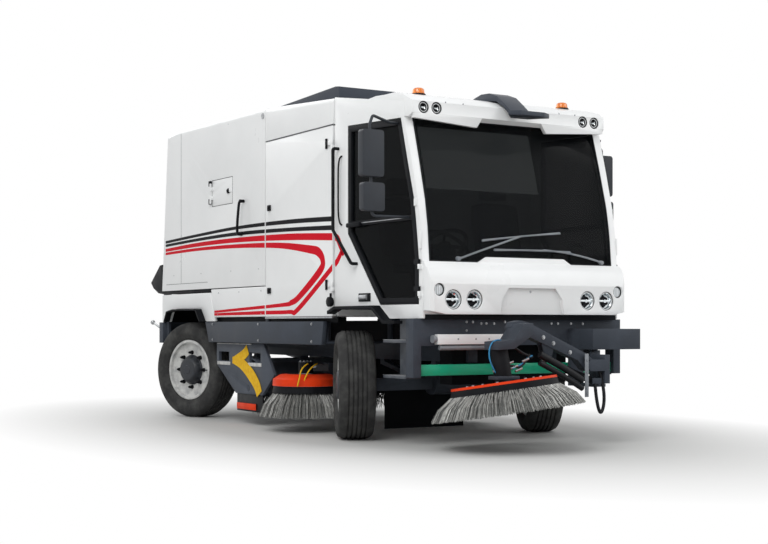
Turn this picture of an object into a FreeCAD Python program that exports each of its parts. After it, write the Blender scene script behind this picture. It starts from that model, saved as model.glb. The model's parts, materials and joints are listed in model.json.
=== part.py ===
import FreeCAD, Part
import Sketcher

import math
import os

from FreeCAD import Placement, Rotation, Vector

# A street sweeper truck with four steered wheels, as separate sub-parts.
# Millimetres and degrees.  X points forward, Y to the vehicle's left and Z up from the ground.
# The origin is on the ground under the middle of the vehicle's box.

doc = FreeCAD.newDocument("StreetSweeper")
sheet = doc.addObject("Spreadsheet::Sheet", "Sizes")
rows = []
nodes = {}


# ---------------------------------------------------------------------------------------
# Sizes: each one is a cell of the sheet, and sums of them keep their expression
# ---------------------------------------------------------------------------------------

class Size:
    """A length, angle or place: its number, and the expression the document keeps for it."""

    def __init__(self, value, text):
        self.value = float(value)
        self.text = text

    def __add__(self, other):
        other = to_size(other)
        return Size(self.value + other.value, f"({self.text} + {other.text})")

    def __sub__(self, other):
        other = to_size(other)
        return Size(self.value - other.value, f"({self.text} - {other.text})")

    def __mul__(self, other):
        other = to_size(other)
        return Size(self.value * other.value, f"({self.text} * {other.text})")

    def __truediv__(self, other):
        other = to_size(other)
        return Size(self.value / other.value, f"({self.text} / {other.text})")

    def __radd__(self, other):
        return to_size(other) + self

    def __rsub__(self, other):
        return to_size(other) - self

    def __rmul__(self, other):
        return to_size(other) * self

    def __neg__(self):
        return Size(-self.value, f"(-1 * {self.text})")


def to_size(number):
    """A plain number as a Size."""
    return number if isinstance(number, Size) else Size(number, f"({float(number):.6f})")


def size(alias, value):
    """A driving size, kept as a named cell of the sheet."""
    rows.append(alias)
    cell = f"B{len(rows)}"
    sheet.set(f"A{len(rows)}", alias.replace("_", " "))
    sheet.set(cell, str(value))
    sheet.setAlias(cell, alias)
    return Size(value, f"Sizes.{alias}")


def sine(angle):
    return Size(math.sin(math.radians(angle.value)), f"sin({angle.text})")


def cosine(angle):
    return Size(math.cos(math.radians(angle.value)), f"cos({angle.text})")


def tangent(angle):
    return sine(angle) / cosine(angle)


# ---------------------------------------------------------------------------------------
# Makers of features
# ---------------------------------------------------------------------------------------

PLANE_TURNS = {
    "XY": Rotation(),
    "XZ": Rotation(Vector(1, 0, 0), 90),
    "YZ": Rotation(Vector(1, 1, 1), 120),
}
PLANE_NORMALS = {"XY": Vector(0, 0, 1), "XZ": Vector(0, 1, 0), "YZ": Vector(1, 0, 0)}
PLANE_LEVELS = {"XY": "z", "XZ": "y", "YZ": "x"}
AXIS_TURNS = {
    "X": Rotation(Vector(0, 1, 0), 90),
    "Y": Rotation(Vector(1, 0, 0), -90),
    "Z": Rotation(),
}
BOTH_SIDES = (("right", -1), ("left", 1))


def move(item, x=0, y=0, z=0):
    """Bind an object's place to sizes."""
    for letter, place in zip("xyz", (x, y, z)):
        item.setExpression(f"Placement.Base.{letter}", to_size(place).text)
    return item


def block(name, x, y, z):
    """A box between a low and a high place along each axis."""
    item = doc.addObject("Part::Box", name)
    for side, (low, high) in zip(("Length", "Width", "Height"), (x, y, z)):
        item.setExpression(side, (to_size(high) - low).text)
    return move(item, x[0], y[0], z[0])


def rod(name, axis, start, length, radius):
    """A cylinder that starts at a point and runs along an axis."""
    item = doc.addObject("Part::Cylinder", name)
    item.setExpression("Radius", to_size(radius).text)
    item.setExpression("Height", to_size(length).text)
    item.Placement = Placement(Vector(), AXIS_TURNS[axis])
    return move(item, *start)


def outline(name, plane, corners, level=0):
    """A closed sketch whose corners are bound to sizes."""
    sketch = doc.addObject("Sketcher::SketchObject", name)
    sketch.Placement = Placement(Vector(), PLANE_TURNS[plane])
    corners = [(to_size(across), to_size(up)) for across, up in corners]
    points = [Vector(across.value, up.value, 0) for across, up in corners]
    last = len(points) - 1
    for index, point in enumerate(points):
        sketch.addGeometry(Part.LineSegment(point, points[0 if index == last else index + 1]))
    for index in range(len(points)):
        following = 0 if index == last else index + 1
        sketch.addConstraint(Sketcher.Constraint("Coincident", index, 2, following, 1))
    for index, corner in enumerate(corners):
        for kind, place in zip(("DistanceX", "DistanceY"), corner):
            number = sketch.addConstraint(
                Sketcher.Constraint(kind, -1, 1, index, 1, place.value))
            sketch.setExpression(f"Constraints[{number}]", place.text)
    sketch.setExpression(f"Placement.Base.{PLANE_LEVELS[plane]}", to_size(level).text)
    return sketch


def inset(name, sketch, distance):
    """A sketch's outline moved inwards."""
    item = doc.addObject("Part::Offset2D", name)
    item.Source = sketch
    item.Join = 2
    item.Fill = False
    item.setExpression("Value", (-to_size(distance)).text)
    return item


def thicken(name, plane, sketch, length):
    """A flat outline pushed out along its plane's normal."""
    item = doc.addObject("Part::Extrusion", name)
    item.Base = sketch
    item.DirMode = "Custom"
    item.Dir = PLANE_NORMALS[plane]
    item.Solid = True
    item.setExpression("LengthFwd", to_size(length).text)
    return item


def prism(name, plane, corners, start, end):
    """A prism on an outline, between two levels along the plane's normal."""
    sketch = outline(f"{name}_outline", plane, corners, start)
    return thicken(name, plane, sketch, to_size(end) - start)


def turned(name, axis, corners):
    """A solid turned about an axis from corners of (place along the axis, radius)."""
    if axis == "Z":
        sketch = outline(f"{name}_section", "XZ", [(radius, along) for along, radius in corners])
    else:
        sketch = outline(f"{name}_section", "YZ", corners)
    item = doc.addObject("Part::Revolution", name)
    item.Source = sketch
    item.Axis = Vector(0, 0, 1) if axis == "Z" else Vector(0, 1, 0)
    item.Base = Vector(0, 0, 0)
    item.Angle = 360
    item.Solid = True
    return item


def joined(name, items):
    item = doc.addObject("Part::MultiFuse", name)
    item.Shapes = items
    item.Refine = True
    return item


def cut_from(name, base, tools):
    item = doc.addObject("Part::Cut", name)
    item.Base = base
    item.Tool = tools[0] if len(tools) == 1 else group(f"{name}_tools", tools)
    item.Refine = True
    return item


def shared(name, items):
    item = doc.addObject("Part::MultiCommon", name)
    item.Shapes = items
    item.Refine = True
    return item


def group(name, items):
    """Solids that share a node and don't touch."""
    item = doc.addObject("Part::Compound", name)
    item.Links = items
    return item


def mirrored(name, source):
    """The same piece on the vehicle's other side."""
    item = doc.addObject("Part::Mirroring", name)
    item.Source = source
    item.Normal = Vector(0, 1, 0)
    item.Base = Vector(0, 0, 0)
    return item


def both_sides(name, source):
    return group(name, [source, mirrored(f"{name}_mirror", source)])


def rounded(name, base, radius, chosen):
    """A fillet on the edges that a test picks."""
    doc.recompute()
    item = doc.addObject("Part::Fillet", name)
    item.Base = base
    item.Edges = [(index + 1, radius.value, radius.value)
                  for index, edge in enumerate(base.Shape.Edges) if chosen(edge)]
    return item


def formed(name, shape):
    """A piece whose shape is made with Part's own functions."""
    item = doc.addObject("Part::Feature", name)
    item.Shape = shape
    return item


def bar(name, start, end, radius):
    """A round bar between two points."""
    start, end = (Vector(*(to_size(place).value for place in point)) for point in (start, end))
    run = end.sub(start)
    return formed(name, Part.makeCylinder(to_size(radius).value, run.Length, start, run))


def bent_rod(name, points, bend, radius):
    """A round rod along straight runs joined by tangent arcs."""
    points = [Vector(*(to_size(place).value for place in point)) for point in points]
    bend = to_size(bend).value
    edges = []
    here = points[0]
    for before, corner, after in zip(points, points[1:], points[2:]):
        back = before.sub(corner).normalize()
        ahead = after.sub(corner).normalize()
        half = back.getAngle(ahead) / 2
        reach = bend / math.tan(half)
        first = corner.add(back.multiply(reach))
        last = corner.add(ahead.multiply(reach))
        middle = first.add(last).multiply(0.5)
        towards = middle.sub(corner)
        depth = bend / math.sin(half) - bend
        crest = corner.add(towards.normalize().multiply(depth))
        edges.append(Part.LineSegment(here, first).toShape())
        edges.append(Part.Arc(first, crest, last).toShape())
        here = last
    edges.append(Part.LineSegment(here, points[-1]).toShape())
    path = Part.Wire(edges)
    start_run = points[1].sub(points[0])
    circle = Part.Wire([Part.Circle(points[0], start_run, to_size(radius).value).toShape()])
    return formed(name, path.makePipeShell([circle], True, False))


def node(name, item):
    """Name a finished sub-part after its file."""
    item.Label = name
    nodes[name] = item
    return item


# ---------------------------------------------------------------------------------------
# Driving sizes
# ---------------------------------------------------------------------------------------

# The vehicle's main places, measured forward from the rear axle and up from the ground
rear_axle_back = size("rear_axle_back", 2186)
wheelbase = size("wheelbase", 3285)
half_width = size("half_width", 1000)
wall = size("wall", 40)
seam_gap = size("seam_gap", 8)
fit_gap = size("fit_gap", 0.3)

tail_reach = size("tail_reach", 620)
tail_lean = size("tail_lean", 165)
hopper_reach = size("hopper_reach", 1830)
housing_start = size("housing_start", 1845)
housing_reach = size("housing_reach", 3092)
# the cab stands behind its seam with the engine bay and reaches forward over the front axle
cab_gap = size("cab_gap", 16)
cab_overhang = size("cab_overhang", 1045)
nose_depth = size("nose_depth", 105)
cab_start = housing_reach + cab_gap
cab_front = wheelbase + cab_overhang
nose_reach = cab_front + nose_depth

sill_bottom = size("sill_bottom", 752)
sill_top = size("sill_top", 947)
skirt_bottom = size("skirt_bottom", 990)
hopper_bottom = size("hopper_bottom", 1268)
hopper_top_rear = size("hopper_top_rear", 2890)
hopper_top_front = size("hopper_top_front", 2846)
housing_top_front = size("housing_top_front", 2758)
door_seam_height = size("door_seam_height", 2540)

rear_axle = -rear_axle_back
front_axle = rear_axle + wheelbase
tail = rear_axle - tail_reach
hopper_front = rear_axle + hopper_reach
housing_rear = rear_axle + housing_start
housing_front = rear_axle + housing_reach
cab_rear = rear_axle + cab_start
cab_nose = rear_axle + cab_front
nose = rear_axle + nose_reach

# Chassis
rail_top = size("rail_top", 780)
rail_height = size("rail_height", 150)
rail_width = size("rail_width", 80)
rail_outside = size("rail_outside", 420)
rail_overhang = size("rail_overhang", 905)
rail_front_reach = wheelbase + rail_overhang
cross_width = size("cross_width", 90)
outrigger_width = size("outrigger_width", 60)
bumper_depth = size("bumper_depth", 100)
bumper_bottom = size("bumper_bottom", 732)
bumper_top = size("bumper_top", 945)
buffer_depth = size("buffer_depth", 12)
buffer_half = size("buffer_half", 600)
rail_inside = rail_outside - rail_width
rail_bottom = rail_top - rail_height
rail_front = rear_axle + rail_front_reach
bumper_front = tail + 20
side_plane = half_width - wall

# Tipping pivot behind the hopper
pivot_back = size("pivot_back", 705)
pivot_height = size("pivot_height", 1368)
pivot_pin_radius = size("pivot_pin_radius", 24)
pivot_eye_radius = size("pivot_eye_radius", 50)
pivot_post_inside = size("pivot_post_inside", 885)
pivot_post_outside = size("pivot_post_outside", 935)
ear_inside = size("ear_inside", 945)
ear_outside = size("ear_outside", 985)
pivot_x = rear_axle - pivot_back

# Wheels
track = size("track", 1787)
front_tyre_radius = size("front_tyre_radius", 436)
rear_tyre_radius = size("rear_tyre_radius", 471)
tyre_width = size("tyre_width", 295)
tread_width = size("tread_width", 236)
rim_width = size("rim_width", 230)
flange_radius = size("flange_radius", 298)
seat_radius = size("seat_radius", 285.5)
well_radius = size("well_radius", 264)
rim_skin = size("rim_skin", 14)
hub_radius = size("hub_radius", 112)
kingpin_inset = size("kingpin_inset", 134)
kingpin_radius = size("kingpin_radius", 18)
kingpin_fit = size("kingpin_fit", 0.08)
steer_boss_radius = size("steer_boss_radius", 40)
steer_boss_half = size("steer_boss_half", 60)
fork_gap = size("fork_gap", 3)
fork_plate = size("fork_plate", 30)
spindle_radius = size("spindle_radius", 45)
front_steer = size("front_steer", 25)
rear_steer = size("rear_steer", 19)
half_track = track / 2
kingpin_side = half_track - kingpin_inset
hub_seat = size("hub_seat", 17)


# ---------------------------------------------------------------------------------------
# Chassis frame, axles and running gear
# ---------------------------------------------------------------------------------------

def chassis_frame():
    """Two rails, their cross members, the rear bumper and the hopper's pivot posts."""
    pieces = []
    for name, side in BOTH_SIDES:
        low, high = (rail_inside, rail_outside) if side > 0 else (-rail_outside, -rail_inside)
        pieces.append(block(f"rail_{name}", (bumper_front - 20, rail_front), (low, high),
                            (rail_bottom, rail_top)))
    # (name, place ahead of the rear axle)
    for name, reach in (("tail", -540), ("roller", 760), ("middle", 1790),
                        ("engine", 2640), ("cab", rail_front_reach - 410)):
        pieces.append(block(f"cross_{name}", (rear_axle + reach, rear_axle + reach + cross_width),
                            (-rail_inside, rail_inside), (rail_bottom + 25, rail_top - 15)))
    # (name, place ahead of the rear axle, top) of the arms that carry the side panels
    for name, reach, top in (("tail", -600, hopper_bottom - 60), ("rear", 640, hopper_bottom - 60),
                             ("middle", 1760, hopper_bottom - 60), ("front", 2820, sill_top)):
        start = rear_axle + reach
        pieces.append(block(f"arm_{name}", (start, start + outrigger_width),
                            (-side_plane, side_plane), (sill_bottom + 10, rail_top)))
        for side_name, side in BOTH_SIDES:
            inside, outside = side_plane - 30, side_plane
            low, high = (inside, outside) if side > 0 else (-outside, -inside)
            pieces.append(block(f"upright_{name}_{side_name}", (start, start + outrigger_width),
                                (low, high), (rail_top - 5, top)))
    pieces.append(block("bumper", (bumper_front - bumper_depth, bumper_front),
                        (-half_width, half_width), (bumper_bottom, bumper_top)))
    pieces.append(block("buffer_pad", (bumper_front - bumper_depth - buffer_depth,
                                       bumper_front - bumper_depth + 5),
                        (-buffer_half, buffer_half), (bumper_bottom + 30, bumper_top - 30)))
    post_foot = bumper_front - bumper_depth + 8
    for side_name, side in BOTH_SIDES:
        inside, outside = ((pivot_post_inside, pivot_post_outside) if side > 0
                           else (-pivot_post_outside, -pivot_post_inside))
        pieces.append(prism(f"pivot_post_{side_name}", "XZ",
                            ((post_foot, bumper_top - 5), (bumper_front - 8, bumper_top - 5),
                             (pivot_x + pivot_eye_radius, pivot_height),
                             (pivot_x - pivot_eye_radius, pivot_height)), inside, outside))
        pieces.append(rod(f"pivot_eye_{side_name}", "Y", (pivot_x, inside, pivot_height),
                          outside - inside, pivot_eye_radius))
        # pads under the hopper, the engine bay and the cab: (name, place, top)
        low, high = (rail_inside, rail_outside) if side > 0 else (-rail_outside, -rail_inside)
        for pad, reach, top in (("hopper", 1690, hopper_bottom - fit_gap),
                                ("base", 560, hopper_bottom - base_depth - fit_gap),
                                ("bay_rear", 1900, skirt_bottom),
                                ("bay_front", housing_reach - 112, skirt_bottom),
                                ("cab_rear", cab_start + 72, cab_floor_bottom),
                                ("cab_front", cab_front - 290, cab_well_bottom)):
            start = rear_axle + reach
            pieces.append(block(f"pad_{pad}_{side_name}", (start, start + outrigger_width),
                                (low, high), (rail_top - 5, top)))
    holes = [rod("pivot_hole", "Y", (pivot_x, -half_width, pivot_height), half_width * 2,
                 pivot_pin_radius + kingpin_fit)]
    node("chassis_frame", cut_from("frame_cut", joined("frame_body", pieces), holes))


def side_hangers():
    """Plates bolted under the rails, bored for the pins of the side brushes' sleeves."""
    plates = []
    for side_name, side in BOTH_SIDES:
        near, far = side_pivot_side - 30, rail_outside
        low, high = (near, far) if side > 0 else (-far, -near)
        for name, start in (("behind", side_brush_x - 95), ("ahead", side_brush_x + 60)):
            plate = block(f"side_hanger_{name}_{side_name}", (start, start + 35), (low, high),
                          (side_pivot_height - 40, rail_bottom - fit_gap))
            bore = rod(f"side_hanger_bore_{name}_{side_name}", "X",
                       (start - 5, side_pivot_side * side, side_pivot_height), 45,
                       16 + kingpin_fit)
            plates.append(cut_from(f"side_hanger_bored_{name}_{side_name}", plate, [bore]))
    node("side_hangers", group("side_hanger_set", plates))


def axle(name, place, height):
    """A beam with a bored boss at each end for the kingpins, and its leaf springs."""
    beam = block(f"{name}_beam", (place - 42, place + 42), (-kingpin_side, kingpin_side),
                 (height - 50, height + 50))
    bowl = rod(f"{name}_bowl", "Y", (place, -beam_bowl_length / 2, height),
               beam_bowl_length, beam_bowl_radius)
    bosses, holes, springs = [], [], []
    for side_name, side in BOTH_SIDES:
        centre = kingpin_side * side
        bosses.append(rod(f"{name}_boss_{side_name}", "Z",
                          (place, centre, height - steer_boss_half),
                          steer_boss_half * 2, steer_boss_radius))
        holes.append(rod(f"{name}_bore_{side_name}", "Z",
                         (place, centre, height - steer_boss_half - 5),
                         steer_boss_half * 2 + 10, kingpin_radius + kingpin_fit))
        low = (rail_inside if side > 0 else -rail_outside) + 5
        # the leaf pack: seat on the beam, rising to a shackle at each end
        springs.append(prism(
            f"{name}_spring_{side_name}", "XZ",
            ((place - 70, height + 45), (place + 70, height + 45),
             (place + 90, height + 80), (place + spring_half, rail_bottom - 40),
             (place + spring_half, rail_bottom), (place + spring_half - 60, rail_bottom),
             (place + spring_half - 70, rail_bottom - 20), (place + 60, height + 110),
             (place - 60, height + 110), (place - spring_half + 70, rail_bottom - 20),
             (place - spring_half + 60, rail_bottom), (place - spring_half, rail_bottom),
             (place - spring_half, rail_bottom - 40), (place - 90, height + 80)),
            low, low + rail_width - 10))
    body = joined(f"{name}_body", [beam, bowl] + bosses + springs)
    return cut_from(f"{name}_bored", body, holes)


def wheel_set(name, place, radius, side, steer):
    """A steering knuckle, and the rim and tyre that turn on its spindle."""
    lug_height = steer_boss_half + fork_gap
    def across(near, far):
        return (near, far) if side > 0 else (-to_size(far), -to_size(near))
    pin = rod(f"{name}_kingpin", "Z", (0, 0, -lug_height - 5), lug_height * 2 + 10,
              kingpin_radius)
    upper = rod(f"{name}_upper_lug", "Z", (0, 0, lug_height), fork_plate, steer_boss_radius + 4)
    lower = rod(f"{name}_lower_lug", "Z", (0, 0, -lug_height - fork_plate), fork_plate,
                steer_boss_radius + 4)
    web = block(f"{name}_web", (-42, 42), across(steer_boss_radius + 6, 82),
                (-lug_height - fork_plate, lug_height + fork_plate))
    ties = [block(f"{name}_tie_{level}", (-42, 42), across(0, 60), span) for level, span in
            (("top", (lug_height, lug_height + fork_plate)),
             ("bottom", (-lug_height - fork_plate, -lug_height)))]
    spindle_start = 70
    spindle_end = kingpin_inset + hub_seat - fit_gap
    spindle_low, spindle_high = across(spindle_start, spindle_end)
    spindle = rod(f"{name}_spindle", "Y", (0, spindle_low, 0), spindle_high - spindle_low,
                  spindle_radius)
    lever = block(f"{name}_lever", (-150, -30), across(-18, 22),
                  (-lug_height - fork_plate, -lug_height - 8))
    knuckle = joined(f"{name}_knuckle_body", [pin, upper, lower, web, spindle, lever] + ties)
    knuckle.Placement = Placement(Vector(), Rotation(Vector(0, 0, 1), 1))
    knuckle.setExpression("Placement.Rotation.Angle", steer.text)
    node(f"knuckle_{name}", move(knuckle, place, kingpin_side * side, radius))

    def out(along):
        """A place along the wheel's axis, positive away from the vehicle."""
        return to_size(along) * side
    half_rim = rim_width / 2
    rim_profile = (
        (out(hub_seat), 0), (out(hub_seat), hub_radius), (out(50), hub_radius),
        (out(60), well_radius - rim_skin), (out(-40), well_radius - rim_skin),
        (out(-62), seat_radius - rim_skin), (out(-half_rim), seat_radius - rim_skin),
        (out(-half_rim), flange_radius), (out(-half_rim + 10), flange_radius),
        (out(-half_rim + 10), seat_radius), (out(-62), seat_radius), (out(-44), well_radius),
        (out(44), well_radius), (out(62), seat_radius), (out(half_rim - 10), seat_radius),
        (out(half_rim - 10), flange_radius), (out(half_rim), flange_radius),
        (out(half_rim), seat_radius - rim_skin), (out(80), seat_radius - rim_skin),
        (out(72), well_radius - rim_skin), (out(64), hub_radius + 8), (out(84), hub_radius - 8),
        (out(120), hub_radius - 16), (out(132), hub_radius - 40), (out(132), 0))
    rim = turned(f"{name}_rim_turned", "Y", rim_profile)
    half_tyre = tyre_width / 2
    half_tread = tread_width / 2
    bead = half_rim - 10 - fit_gap
    bead_radius = seat_radius + fit_gap
    bulge_radius = (radius + bead_radius) / 2
    tyre = turned(f"{name}_tyre_turned", "Y", (
        (out(-bead), bead_radius), (out(-bead), flange_radius + 3),
        (out(-bead - 18), flange_radius + 12),
        (out(-half_tyre), bulge_radius), (out(-half_tyre + 6), radius - 36),
        (out(-half_tread), radius - 6), (out(-half_tread + 30), radius),
        (out(half_tread - 30), radius), (out(half_tread), radius - 6),
        (out(half_tyre - 6), radius - 36), (out(half_tyre), bulge_radius),
        (out(bead + 18), flange_radius + 12), (out(bead), flange_radius + 3),
        (out(bead), bead_radius)))
    for kind, item in (("rim", rim), ("tyre", tyre)):
        item.Placement = Placement(Vector(), Rotation(Vector(0, 0, 1), 1))
        item.setExpression("Placement.Rotation.Angle", steer.text)
        move(item, place - kingpin_inset * side * sine(steer),
             kingpin_side * side + kingpin_inset * side * cosine(steer), radius)
        node(f"{kind}_{name}", item)


spring_half = size("spring_half", 430)
beam_bowl_length = size("beam_bowl_length", 380)
beam_bowl_radius = size("beam_bowl_radius", 95)
base_depth = size("base_depth", 32)
side_brush_x = rear_axle + 2270
side_pivot_side = size("side_pivot_side", 225)
side_pivot_height = size("side_pivot_height", 545)
cab_floor_bottom = size("cab_floor_bottom", 1068)
cab_well_bottom = size("cab_well_bottom", 966)

chassis_frame()
side_hangers()
axles = []
for axle_name, axle_place, axle_radius, axle_steer in (
        ("front", front_axle, front_tyre_radius, -front_steer),
        ("rear", rear_axle, rear_tyre_radius, rear_steer)):
    axles.append(axle(f"{axle_name}_axle", axle_place, axle_radius))
    for wheel_side, wheel_sign in BOTH_SIDES:
        wheel_set(f"{axle_name}_{wheel_side}", axle_place, axle_radius, wheel_sign, axle_steer)
node("axles", group("axle_set", axles))


# ---------------------------------------------------------------------------------------
# Lower body: sills, skirts and wheel arch flares
# ---------------------------------------------------------------------------------------

cab_half = size("cab_half", 985)
sill_start = size("sill_start", 500)
sill_end = size("sill_end", 2925)
sill_slant = size("sill_slant", 86)
skirt_step = size("skirt_step", 717)
skirt_top_gap = size("skirt_top_gap", 40)
flare_reach = size("flare_reach", 60)
flare_skin = size("flare_skin", 12)


def sills():
    """A plain steel beam with slanted ends along each side between the wheels."""
    sill = prism("sill", "XZ", ((rear_axle + sill_start, sill_top), (rear_axle + sill_end, sill_top),
                                (rear_axle + sill_end - 35, sill_bottom),
                                (rear_axle + sill_start + sill_slant, sill_bottom)),
                 -half_width, -side_plane)
    node("sill_panels", both_sides("sill_pair", sill))


def skirts():
    """White lower panels: one over the rear wheel, one ahead of it up to the engine bay."""
    # arch of the rear wheel, as (place from the axle, height)
    arch = ((-442, 0), (-370, 105), (-205, 126), (400, 122), (507, 0))
    rear_top = hopper_bottom - skirt_top_gap
    rear_bottom = sill_top + 3
    points = [(tail, rear_bottom)]
    points += [(rear_axle + along, rear_bottom + up) for along, up in arch]
    points += [(rear_axle + skirt_step, rear_bottom), (rear_axle + skirt_step - 95, rear_top),
               (tail, rear_top)]
    rear = prism("skirt_rear", "XZ", points, -half_width, -side_plane)
    front = prism("skirt_front", "XZ",
                  ((rear_axle + skirt_step + 4, skirt_bottom), (hopper_front, skirt_bottom),
                   (hopper_front, hopper_bottom - seam_gap),
                   (rear_axle + skirt_step - 84, hopper_bottom - seam_gap)),
                  -half_width, -side_plane)
    node("body_skirts", group("skirt_set", [rear, front, mirrored("skirt_rear_left", rear),
                                            mirrored("skirt_front_left", front)]))
    flare_points = [(rear_axle + along, rear_bottom + up) for along, up in arch]
    inner = [(rear_axle + along, rear_bottom + up) for along, up in
             ((480, 0), (382, 108), (-196, 112), (-352, 93), (-414, 0))]
    rear_flare = prism("flare_rear", "XZ", flare_points + inner, -half_width - flare_reach,
                       -half_width)
    # the front arch: (place from the front axle, height above the ground)
    top = ((-187, 1030), (-75, 1066), (526, 1066), (700, 950), (860, 950))
    under = ((860, 926), (690, 926), (512, 1042), (-68, 1042), (-187, 1004))
    lip = prism("flare_front_lip", "XZ",
                [(front_axle + along, to_size(up)) for along, up in top + under],
                -half_width - flare_reach, -cab_half - fit_gap)
    liner = block("flare_front_liner", (cab_rear + 4, front_axle + 415), (-cab_half - 5, -620),
                  (1042, cab_floor_bottom - fit_gap))
    front_flare = joined("flare_front", [lip, liner])
    node("arch_flares", group("flare_set", [rear_flare, front_flare,
                                            mirrored("flare_rear_left", rear_flare),
                                            mirrored("flare_front_left", front_flare)]))


sills()
skirts()


# ---------------------------------------------------------------------------------------
# Hopper: black base frame with tipping ears, white shell, rear door and side hatch
# ---------------------------------------------------------------------------------------

rear_door_half = size("rear_door_half", 880)
rear_door_bottom = size("rear_door_bottom", 1548)
rear_door_top = size("rear_door_top", 2770)
rear_door_skin = size("rear_door_skin", 36)
hatch_start = size("hatch_start", 669)
hatch_end = size("hatch_end", 1142)
hatch_bottom = size("hatch_bottom", 2050)
hatch_top = size("hatch_top", 2304)
hatch_skin = size("hatch_skin", 22)
door_gap = size("door_gap", 6)
hinge_radius = size("hinge_radius", 11)
hinge_length = size("hinge_length", 36)
hinge_stand_off = size("hinge_stand_off", 13)
channel_end = size("channel_end", 600)
roof_radius = size("roof_radius", 45)


def tail_face(height):
    """The place of the hopper's leaning rear face at a height."""
    return tail + tail_lean * (to_size(height) - hopper_bottom) / (hopper_top_rear - hopper_bottom)


def hopper_base():
    """Side channels and cross beams under the hopper, with its ears and tipping pins."""
    pieces = []
    low, high = hopper_bottom - base_depth, hopper_bottom
    for side_name, side in BOTH_SIDES:
        def across(near, far):
            return (near, far) if side > 0 else (-far, -near)
        inside, outside = across(ear_inside, ear_outside)
        pieces.append(block(f"base_channel_{side_name}", (tail, rear_axle + channel_end),
                            (inside, outside), (low, high)))
        # the ear, as places from its pivot: (forward, up)
        drop = high - pivot_height
        ear = ((88, low - pivot_height), (-60, -118), (-200, -62), (-272, -4), (-180, 60),
               (-20, 172), (60, 178), (60, drop), (88, drop))
        pieces.append(prism(f"base_ear_{side_name}", "XZ",
                            [(pivot_x + ahead, pivot_height + up) for ahead, up in ear],
                            inside, outside))
        pin_low, pin_high = across(pivot_post_inside - 8, ear_outside - 5)
        pieces.append(rod(f"base_pin_{side_name}", "Y", (pivot_x, pin_low, pivot_height),
                          pin_high - pin_low, pivot_pin_radius))
    for name, reach in (("rear", -540), ("front", 540)):
        pieces.append(block(f"base_cross_{name}", (rear_axle + reach, rear_axle + reach + 60),
                            (-ear_inside - 5, ear_inside + 5), (low, high)))
    node("hopper_base", joined("base_body", pieces))


def hopper():
    """A hollow load space with a door opening behind and a hatch opening at the right."""
    profile = ((tail, hopper_bottom), (hopper_front, hopper_bottom),
               (hopper_front, hopper_top_front), (tail + tail_lean + 260, hopper_top_rear),
               (tail_face(2850) + 30, hopper_top_rear - 12), (tail_face(2840), hopper_top_rear - 50))
    sketch = outline("hopper_outline", "XZ", profile, -half_width)
    solid = thicken("hopper_solid", "XZ", sketch, half_width * 2)
    soft = rounded("hopper_rounded", solid, roof_radius, lambda edge: is_roof_edge(edge, 2750))
    inner_sketch = outline("hopper_inner_outline", "XZ", profile, -side_plane)
    hollow = thicken("hopper_hollow", "XZ", inset("hopper_inset", inner_sketch, wall),
                     side_plane * 2)
    door_hole = block("hopper_door_hole", (tail - 50, tail + tail_lean + wall + 40),
                      (-rear_door_half, rear_door_half), (rear_door_bottom, rear_door_top))
    hatch_hole = block("hopper_hatch_hole", (rear_axle + hatch_start, rear_axle + hatch_end),
                       (-half_width - 5, -side_plane + 5), (hatch_bottom, hatch_top))
    shell = cut_from("hopper_cut", soft, [hollow, door_hole, hatch_hole])
    hinges = []
    for side_name, side in BOTH_SIDES:
        low, high = (700, 700 + hinge_length) if side > 0 else (-700 - hinge_length, to_size(-700))
        hinges.append(rod(f"door_hinge_{side_name}", "Y", (door_hinge_x, low, door_hinge_z),
                          high - low, hinge_radius))
        hinges.append(block(f"door_hinge_leaf_{side_name}",
                            (door_hinge_x - 3, tail_face(rear_door_top) + 30), (low, high),
                            (door_hinge_z, door_hinge_z + 10)))
    for name, low in (("low", hatch_bottom + 30), ("high", hatch_top - 30 - hinge_length)):
        hinges.append(rod(f"hatch_hinge_{name}", "Z", (hatch_axis_x, hatch_axis_y, low),
                          hinge_length, hinge_radius))
        hinges.append(block(f"hatch_hinge_leaf_{name}", (hatch_axis_x - 32, hatch_axis_x),
                            (-half_width - 5, -half_width + 5), (low, low + hinge_length)))
    node("hopper_shell", joined("hopper_body", [shell] + hinges))


def hopper_door():
    """The tailgate, hung at its top edge."""
    low, high = rear_door_bottom + door_gap, rear_door_top - door_gap
    half = rear_door_half - door_gap
    panel = prism("tailgate", "XZ",
                  ((tail_face(low.value), low), (tail_face(high.value), high),
                   (tail_face(high.value) + rear_door_skin, high),
                   (tail_face(low.value) + rear_door_skin, low)), -half, half)
    pieces = [panel]
    for side_name, side in BOTH_SIDES:
        start = 700 - hinge_length - 0.5 if side > 0 else to_size(-699.5)
        pieces.append(rod(f"tailgate_barrel_{side_name}", "Y", (door_hinge_x, start, door_hinge_z),
                          hinge_length, hinge_radius))
        pieces.append(prism(f"tailgate_leaf_{side_name}", "XZ",
                            ((door_hinge_x - 8, door_hinge_z), (door_hinge_x + 2, door_hinge_z),
                             (tail_face(2700) + 8, 2700), (tail_face(2700) - 7, 2700)),
                            start, start + hinge_length))
    node("hopper_door", joined("tailgate_body", pieces))


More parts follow.
